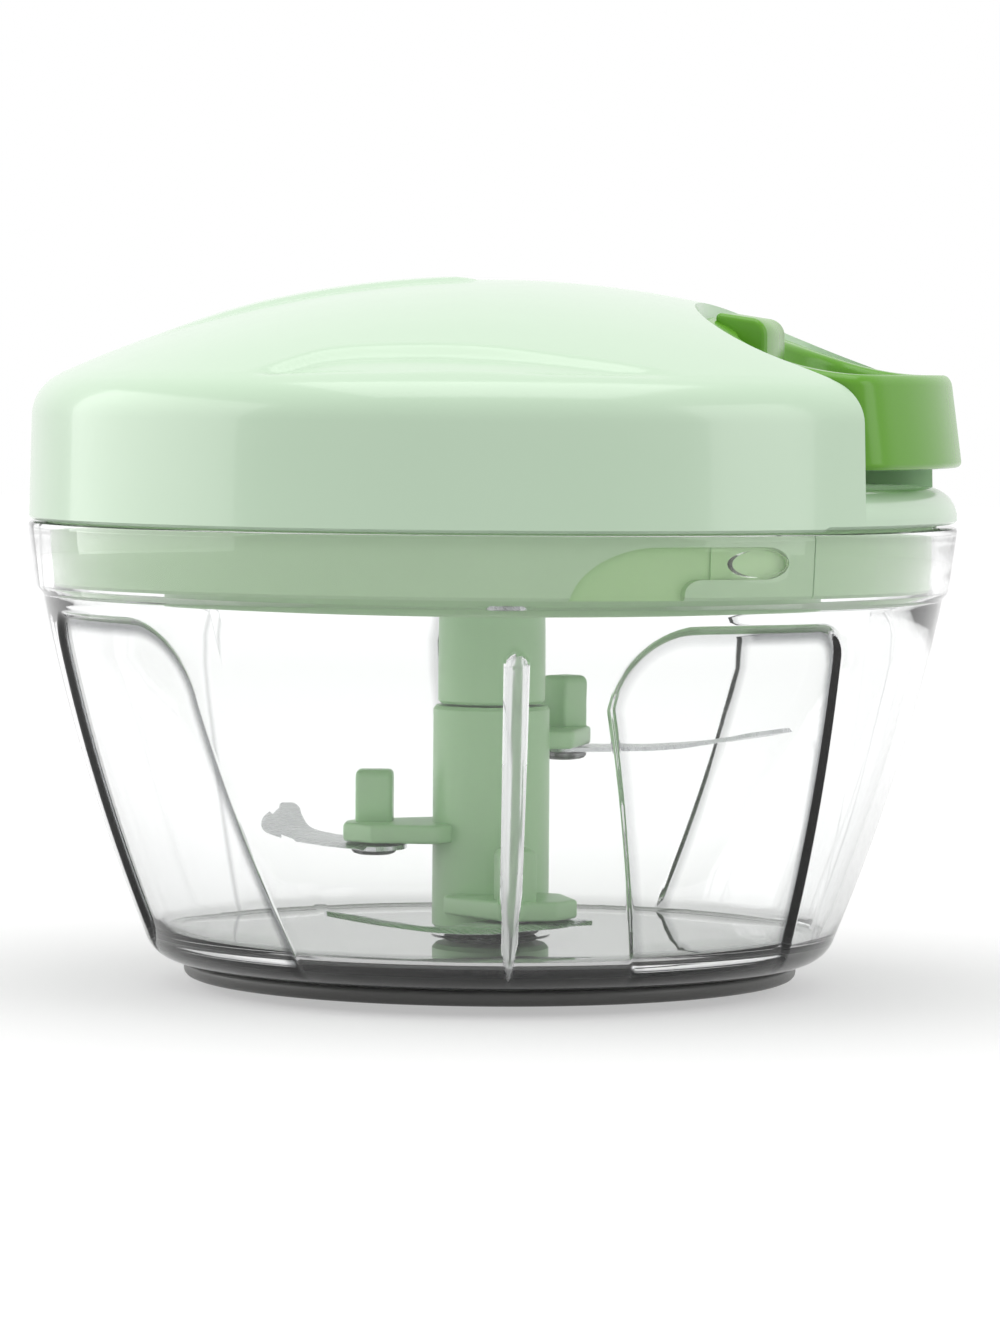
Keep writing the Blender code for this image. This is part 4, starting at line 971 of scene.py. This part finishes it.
def make_lid_base():
    profile = [
        (COLLAR_OUT, COLLAR_TOP), (COLLAR_OUT, PAN_Z + 2.0), (PAN_R - 2.0, PAN_Z + 2.0),
        (PAN_R - 2.0, PLATE_TOP), (SKIRT_IN, PLATE_TOP), (SKIRT_IN, LID_FOOT_Z + 2.0),
        (SKIRT_SEAT_R, LID_FOOT_Z + 2.0), (SKIRT_SEAT_R, LID_FOOT_Z), (SKIRT_R, BOWL_TOP),
        (SKIRT_R, SKIRT_FOOT + 0.4), (SKIRT_R - 0.4, SKIRT_FOOT), (SKIRT_IN, SKIRT_FOOT),
        (SKIRT_IN, PLATE_Z),
        (PAN_R + 0.6, PLATE_Z), (PAN_R, PLATE_Z - 0.6), (PAN_R, PAN_Z + 1.0), (PAN_R - 1.0, PAN_Z),
        (COLLAR_IN, PAN_Z), (COLLAR_IN, COLLAR_TOP),
    ]
    base = turned("lid_underside", profile, 256)
    # The underside takes the darker mint with painted shade.
    base.data.materials.append(MINT_UNDER_PAINTED_SHADE)
    cutters = [track_cutter(lug) for lug in LUGS]
    stops = [track_stop(lug) for lug in LUGS]
    # The tracks and their stops take the mint with painted shade and glow.
    for tool in cutters + stops:
        tool.data.materials.append(MINT_TRACK_PAINTED_SHADE_AND_GLOW)
    half = SEAM_WIDTH / 2
    for degrees in (-SEAM_ANGLE, SEAM_ANGLE):
        seam = prism("skirt_seam", [(SKIRT_R - 0.4, -half), (70.0, -half), (70.0, half),
                                    (SKIRT_R - 0.4, half)], 50.0, 65.0)
        cutters.append(turn(seam, degrees))
    shape(base, cuts=cutters)
    shape(base, joins=stops)
    return finish(base, "lid", ["lid_base"], "mint")


# ---------------------------------------------------------------- rotor


def hexagon(radius):
    return ellipse_arc((0.0, 0.0), radius, radius, 0, 300, 5)


def make_shaft():
    profile = [(0.0, SHAFT_SEAM + 0.3), (SHAFT_R - 0.4, SHAFT_SEAM + 0.3),
               (SHAFT_R, SHAFT_SEAM + 0.7), (SHAFT_R, COLLAR_TOP), (0.0, COLLAR_TOP)]
    shaft = turned("shaft", profile, 96)
    end = prism("shaft_end", hexagon(HEX_R), SHAFT_SEAM - HEX_H, SOCKET_TOP)
    top = prism("shaft_top", hexagon(DRUM_HEX_R), COLLAR_TOP - 1.0, DRUM_HEX_TOP)
    hole = drill("shaft_hole", DRUM_SCREW_R, DRUM_HEX_TOP - 8.0, DRUM_HEX_TOP + 2.0, 32)
    shape(shaft, joins=[end, top], cuts=[hole])
    return finish(shaft, "rotor", ["drive_shaft"], "mint_inner", MINT_INNER_PAINTED_LIGHT)


def arm_plan():
    root = SLEEVE_R * 0.6
    root_half = SLEEVE_R * 0.75
    corners = [(root, -root_half), *ARM_CORNERS, (root, root_half)]
    return round_corners(corners, [0.0, *(0.9 for _ in ARM_CORNERS), 0.0], 4)


def to_arm(obj):
    """Moves a piece from the axis out to where an arm's rivet stands."""
    return transform(obj, Matrix.Translation((FINGER_R * MM, 0.0, 0.0)))


def make_carrier():
    sleeve = turned("blade_column", [
        (0.0, SLEEVE_FOOT), (SLEEVE_R - 0.5, SLEEVE_FOOT), (SLEEVE_R, SLEEVE_FOOT + 0.5),
        (SLEEVE_R, SHAFT_SEAM - 0.5), (SLEEVE_R - 0.4, SHAFT_SEAM), (0.0, SHAFT_SEAM)], 96)
    joins = []
    for label, z, degrees in ARMS:
        arm = prism(f"arm_{label}", arm_plan(), z, z + ARM_THICK)
        shape(arm, bevel=0.5, bevel_angle=50.0)
        top = z + ARM_THICK + FINGER_H
        side = [(-FINGER_HALF, z + 2.0), (FINGER_HALF, z + 2.0), (FINGER_HALF, top),
                (-FINGER_HALF, top)]
        rounds = [0.0, 0.0, FINGER_ROUND, FINGER_ROUND]
        finger = prism(f"finger_{label}", round_corners(side, rounds, 6), FINGER_R - FINGER_HALF,
                       FINGER_R + FINGER_HALF)
        upright(finger)
        shape(finger, bevel=0.7, bevel_angle=50.0)
        joins += [turn(arm, degrees), turn(finger, degrees)]
    cuts = [prism("socket", hexagon(HEX_R + HEX_PLAY), SHAFT_SEAM - HEX_H - HEX_PLAY, SOCKET_TOP),
            drill("bore", PIN_BORE_R, SLEEVE_FOOT - 1.4, PIN_BORE_TOP, 32)]
    for label, z, degrees in ARMS:
        rivet_bore = drill(f"rivet_bore_{label}", RIVET_HOLE_R, z - 1.0, z + 2.5, 24)
        cuts.append(turn(to_arm(rivet_bore), degrees))
    shape(sleeve, joins=joins, cuts=cuts)
    return finish(sleeve, "rotor", ["blade_carrier"], "mint_inner", MINT_INNER_PAINTED_LIGHT)


def smoothed(stations, steps):
    """Stations on a smooth curve through the given ones."""
    last = len(stations) - 1
    made = []
    for i in range(last):
        a, b, c, d = (Vector(stations[min(max(i + k, 0), last)]) for k in (-1, 0, 1, 2))
        for step in range(steps):
            t = step / steps
            square = a - b * 2.5 + c * 2.0 - d * 0.5
            cube = (b - c) * 1.5 + (d - a) * 0.5
            made.append(b + (c - a) * (t / 2) + square * t ** 2 + cube * t ** 3)
    made.append(Vector(stations[last]))
    return made


def make_blade(label, z, degrees):
    """A swept blade whose tip rises, ground thin along its outer edge, with a hole for its rivet."""
    low = z - BLADE_UNDER_ARM - BLADE_THICK
    stations = smoothed(BLADE_STATIONS, BLADE_STEPS)
    verts = []
    for i, (x, y, half, rise) in enumerate(stations):
        before = stations[max(i - 1, 0)]
        after = stations[min(i + 1, len(stations) - 1)]
        across = Vector((before[1] - after[1], after[0] - before[0])).normalized()
        middle = Vector((x, y))
        a, b = middle + across * half, middle - across * half
        land = a - across * min(1.4, half * 0.6)
        foot = low + max(rise, 0.0)
        top = foot + BLADE_THICK
        verts += [(*a, foot + 0.05), (*land, top), (*b, top), (*b, foot), (*land, foot), (*a, foot)]
    count = len(stations)
    faces = [[0, 5, 4, 3, 2, 1], [6 * (count - 1) + k for k in range(6)]]
    for i in range(count - 1):
        for k in range(6):
            j = (k + 1) % 6
            faces.append([6 * i + k, 6 * i + j, 6 * (i + 1) + j, 6 * (i + 1) + k])
    blade = make_mesh(f"blade_{label}_steel", verts, faces, 12.0)
    shape(blade, cuts=[to_arm(drill(f"hole_{label}", RIVET_HOLE_R, low - 1.0, z, 32))])
    turn(blade, degrees)
    return finish(blade, "rotor", [f"blade_{label}"], "steel", STEEL)


def nicked(verts, inner, teeth, deep):
    """Points of a turned piece whose rim, outside the inner radius, is nicked into teeth."""
    made = []
    for x, y, z in verts:
        r = max(math.hypot(x, y), 0.001)
        nick = deep * ease((r - inner) / 1.5) * (0.5 + 0.5 * math.cos(teeth * math.atan2(y, x)))
        made.append((x * (1.0 - nick / r), y * (1.0 - nick / r), z))
    return made


def make_rivet(label, z, degrees):
    seat = z - 1.2
    head = [(3.4, seat), (3.35, seat - 0.35), (3.0, seat - 0.7), (2.2, seat - 0.95),
            (1.2, seat - 1.0), (0.8, seat - 0.7), (0.0, seat - 0.6)]
    profile = [(0.0, z + 2.2), (1.7, z + 2.2), (2.0, z + 1.9), (2.0, seat), *head]
    verts, faces = lathe(profile, 72)
    rivet = make_mesh(f"rivet_{label}_head", nicked(verts, 2.4, 8, 0.45), faces)
    turn(to_arm(rivet), degrees)
    return finish(rivet, "rotor", [f"rivet_{label}"], "steel", DARK_STEEL)


def make_washer():
    """A dark lock ring whose rim is nicked into teeth all the way round."""
    low, high = SLEEVE_FOOT - 0.9, SLEEVE_FOOT - 0.3
    middle = (low + high) / 2
    profile = [(PIN_BORE_R, low), (6.2, low), (6.6, middle), (6.2, high), (PIN_BORE_R, high)]
    verts, faces = lathe(profile, 144)
    washer = make_mesh("lock_ring", nicked(verts, 4.0, 16, 0.5), faces)
    return finish(washer, "rotor", ["shaft_washer"], "steel", DARK_STEEL)


# ---------------------------------------------------------------- handle


def handle_top(x):
    share = min(max((x - HANDLE_NOSE_X) / (HANDLE_FLAT_X - HANDLE_NOSE_X), 0.0), 1.0)
    return HANDLE_TOP + (HANDLE_NOSE_Z - HANDLE_TOP) * (1.0 - share) ** 1.7


def handle_ring(inset, end_r):
    """Plan of the ring: round nose, straight sides and a grip that follows the bowl's rim."""
    half = POCKET_HALF - inset
    nose = POCKET_NOSE - inset
    end_x = math.sqrt(end_r * end_r - half * half)
    corner_x = end_x - HANDLE_CORNER
    sweep = math.degrees(math.asin((half - HANDLE_CORNER) / end_r))
    points = ellipse_arc((POCKET_X, 0.0), nose, half, 270, 90, 64)
    points += [(POCKET_X + (corner_x - POCKET_X) * i / 6, half) for i in range(1, 6)]
    end_start = (end_r * math.cos(math.radians(sweep)), half - HANDLE_CORNER)
    for i in range(9):
        t = i / 8
        x = corner_x * (1 - t) ** 2 + 2 * end_x * t * (1 - t) + end_start[0] * t * t
        y = half * (1 - t) ** 2 + 2 * half * t * (1 - t) + end_start[1] * t * t
        points.append((x, y))
    points += [(end_r * math.cos(math.radians(a)), end_r * math.sin(math.radians(a)))
               for a in (sweep * (1 - i / 14) for i in range(1, 15))]
    mirrored = [(x, -y) for x, y in points[65:-1]][::-1]
    return points + mirrored


def make_handle():
    outer = handle_ring(HANDLE_PLAY, HANDLE_END_R)
    inner = handle_ring(HANDLE_PLAY + HANDLE_BAND, HANDLE_END_R - HANDLE_GRIP)
    count = len(outer)
    verts = []
    for (ox, oy), (ix, iy) in zip(outer, inner):
        band = Vector((ix - ox, iy - oy))
        width = band.length
        across = band.normalized()
        top_out, top_in = handle_top(ox), handle_top(ix)
        corners = [(0.0, HANDLE_FOOT), (width, HANDLE_FOOT), (width, top_in), (0.0, top_out)]
        radii = [HANDLE_FOOT_ROUND, HANDLE_FOOT_ROUND, HANDLE_ROUND, HANDLE_ROUND]
        ring = round_corners(corners, radii, 6)
        for u, z in ring:
            lean = HANDLE_LEAN * (z - HANDLE_FOOT) / (HANDLE_TOP - HANDLE_FOOT)
            lean *= ease((ox - LEAN_FROM_X) / LEAN_FADE_W)
            point = Vector((ox, oy)) + across * u
            share = 1.0 - u / width
            scale = 1.0 - lean * share / HANDLE_END_R
            verts.append((point.x * scale, point.y * scale, z))
    section = len(ring)
    faces = []
    for i in range(count):
        j = (i + 1) % count
        for k in range(section):
            m = (k + 1) % section
            faces.append([section * i + k, section * i + m, section * j + m, section * j + k])
    handle = make_mesh("handle_green", verts, faces)
    low_x, high_x = HANDLE_NOSE_X + HANDLE_BAND / 2, HANDLE_NOSE_X + BLOCK_LENGTH
    side = [(low_x, HANDLE_FOOT + 0.4), (high_x, HANDLE_FOOT + 0.4), (high_x, dome_z(high_x) + 0.2),
            (low_x, dome_z(low_x) - 0.6)]
    block = prism("block", round_corners(side, [0.0, 0.8, 2.4, 0.0], 8), -BLOCK_HALF, BLOCK_HALF)
    transform(block, Matrix.Rotation(math.radians(90.0), 4, "X"))
    shape(block, bevel=1.2, bevel_angle=50.0, segments=4)
    bore = turn_to_x(drill("anchor_bore", ANCHOR_BORE_R, *ANCHOR_BORE_X, 40), GUIDE_Z + ANCHOR_LIFT)
    shape(handle, joins=[block], cuts=[bore])
    return finish(handle, "handle", ["pull_handle"], "green", GREEN)


# ---------------------------------------------------------------- carried-over nodes


def dress_nodes():
    """Gives every CAD node that stays its finish."""
    finishes = {
        "steel": STEEL, "mint": MINT, "mint_inner": MINT_INNER_PAINTED_LIGHT, "green": GREEN,
        "white_plastic": WHITE, "grey_pad": GREY_PAD, "clear_bowl": CLEAR,
    }
    slots = {row["node"]: row["material_slot"] for row in frame["record"]["subparts"]}
    for name, node in frame["nodes"].items():
        node.data.materials.clear()
        node.data.materials.append(finishes[slots[name]])


# ---------------------------------------------------------------- studio


def light_path_white(tree):
    """1 for camera, glossy and transmission rays, 0 for the rest."""
    path = tree.nodes.new("ShaderNodeLightPath")
    total = None
    for name in ("Is Camera Ray", "Is Glossy Ray", "Is Transmission Ray"):
        if total is None:
            total = path.outputs[name]
            continue
        most = tree.nodes.new("ShaderNodeMath")
        most.operation = "MAXIMUM"
        tree.links.new(total, most.inputs[0])
        tree.links.new(path.outputs[name], most.inputs[1])
        total = most.outputs["Value"]
    return total


def make_world():
    world = bpy.data.worlds.new("studio")
    world.use_nodes = True
    bpy.context.scene.world = world
    tree = world.node_tree
    background = tree.nodes["Background"]
    background.inputs["Color"].default_value = (1.0, 1.0, 1.0, 1.0)
    spread = tree.nodes.new("ShaderNodeMapRange")
    spread.inputs["To Min"].default_value = 0.60
    spread.inputs["To Max"].default_value = 1.0
    tree.links.new(light_path_white(tree), spread.inputs["Value"])
    tree.links.new(spread.outputs["Result"], background.inputs["Strength"])


def make_floor():
    half = 3000.0
    floor = make_mesh("floor", [(-half, -half, 0.0), (half, -half, 0.0), (half, half, 0.0),
                                (-half, half, 0.0)], [[0, 1, 2, 3]])
    material = bpy.data.materials.new("pale_floor")
    material.use_nodes = True
    tree = material.node_tree
    shader = tree.nodes["Principled BSDF"]
    shader.inputs["Base Color"].default_value = (0.50, 0.50, 0.50, 1.0)
    shader.inputs["Roughness"].default_value = 0.9
    shader.inputs["Specular IOR Level"].default_value = 0.0
    shader.inputs["Emission Color"].default_value = (1.0, 1.0, 1.0, 1.0)
    place = tree.nodes.new("ShaderNodeTexCoord")
    away = tree.nodes.new("ShaderNodeVectorMath")
    away.operation = "LENGTH"
    tree.links.new(place.outputs["Object"], away.inputs[0])
    fade = tree.nodes.new("ShaderNodeMapRange")
    for name, value in (("From Min", 0.06), ("From Max", 0.28), ("To Min", 0.45), ("To Max", 0.74)):
        fade.inputs[name].default_value = value
    tree.links.new(away.outputs["Value"], fade.inputs["Value"])
    lift = tree.nodes.new("ShaderNodeMath")
    lift.operation = "MULTIPLY"
    tree.links.new(light_path_white(tree), lift.inputs[0])
    tree.links.new(fade.outputs["Result"], lift.inputs[1])
    tree.links.new(lift.outputs["Value"], shader.inputs["Emission Strength"])
    floor.data.materials.append(material)


def add_light(name, place, aim, size, power):
    data = bpy.data.lights.new(name, "AREA")
    data.shape = "RECTANGLE"
    data.size, data.size_y = size
    data.energy = power
    lamp = bpy.data.objects.new(name, data)
    bpy.context.scene.collection.objects.link(lamp)
    lamp.location = place
    lamp.rotation_euler = (Vector(aim) - Vector(place)).to_track_quat("-Z", "Y").to_euler()
    return lamp


def camera_side(right, near, up):
    """A place in metres given to the camera's right, towards the camera and up."""
    toward = Vector((math.cos(CAMERA_AZIMUTH), math.sin(CAMERA_AZIMUTH), 0.0))
    to_right = Vector((-toward.y, toward.x, 0.0))
    return tuple(to_right * right + toward * near + Vector((0.0, 0.0, up)))


def make_lights():
    middle = (0.0, 0.0, 0.05)
    add_light("top", camera_side(0.0, 0.1, 1.2), middle, (1.0, 1.0), 5.6)
    add_light("left", camera_side(-1.2, -0.1, 0.35), middle, (1.5, 1.1), 8.0)
    add_light("right", camera_side(1.1, 0.45, 0.45), middle, (0.7, 0.9), 3.0)


def make_camera():
    data = bpy.data.cameras.new("camera")
    data.sensor_fit = "VERTICAL"
    data.sensor_height = 24.0
    data.lens = 24.0 * FOCAL_PIXELS / PHOTO_H
    data.clip_start = 0.01
    data.clip_end = 50.0
    camera = bpy.data.objects.new("camera", data)
    bpy.context.scene.collection.objects.link(camera)
    place = Vector((CAMERA_DISTANCE * math.cos(CAMERA_AZIMUTH),
                    CAMERA_DISTANCE * math.sin(CAMERA_AZIMUTH), CAMERA_Z))
    camera.location = place * MM
    aimed = (Vector(CAMERA_AIM) - place).to_track_quat("-Z", "Y").to_matrix()
    camera.rotation_euler = (aimed @ Matrix.Rotation(CAMERA_ROLL, 3, "Z")).to_euler()
    bpy.context.scene.camera = camera


MINT = mint()
MINT_UNDER_PAINTED_SHADE = mint_under()
MINT_TRACK_PAINTED_SHADE_AND_GLOW = mint_track()
MINT_INNER_PAINTED_LIGHT = mint_inner()
GREEN = green()
WHITE = white_plastic()
CLEAR = clear_plastic()
BOWL_FLOOR_PAINTED_SHADE = bowl_floor_painted_shade()
PALE_RIB_PAINTED_LIGHT = pale_rib_painted_light()
GREY_PAD = grey_pad()
STEEL = steel()
DARK_STEEL = dark_steel()

dress_nodes()
make_pad()
make_bowl()
make_lid()
make_lid_base()
make_shaft()
make_carrier()
for arm in ARMS:
    make_blade(*arm)
    make_rivet(*arm)
make_washer()
make_handle()

make_world()
make_floor()
make_lights()
make_camera()
bpy.context.scene.view_settings.view_transform = "Standard"
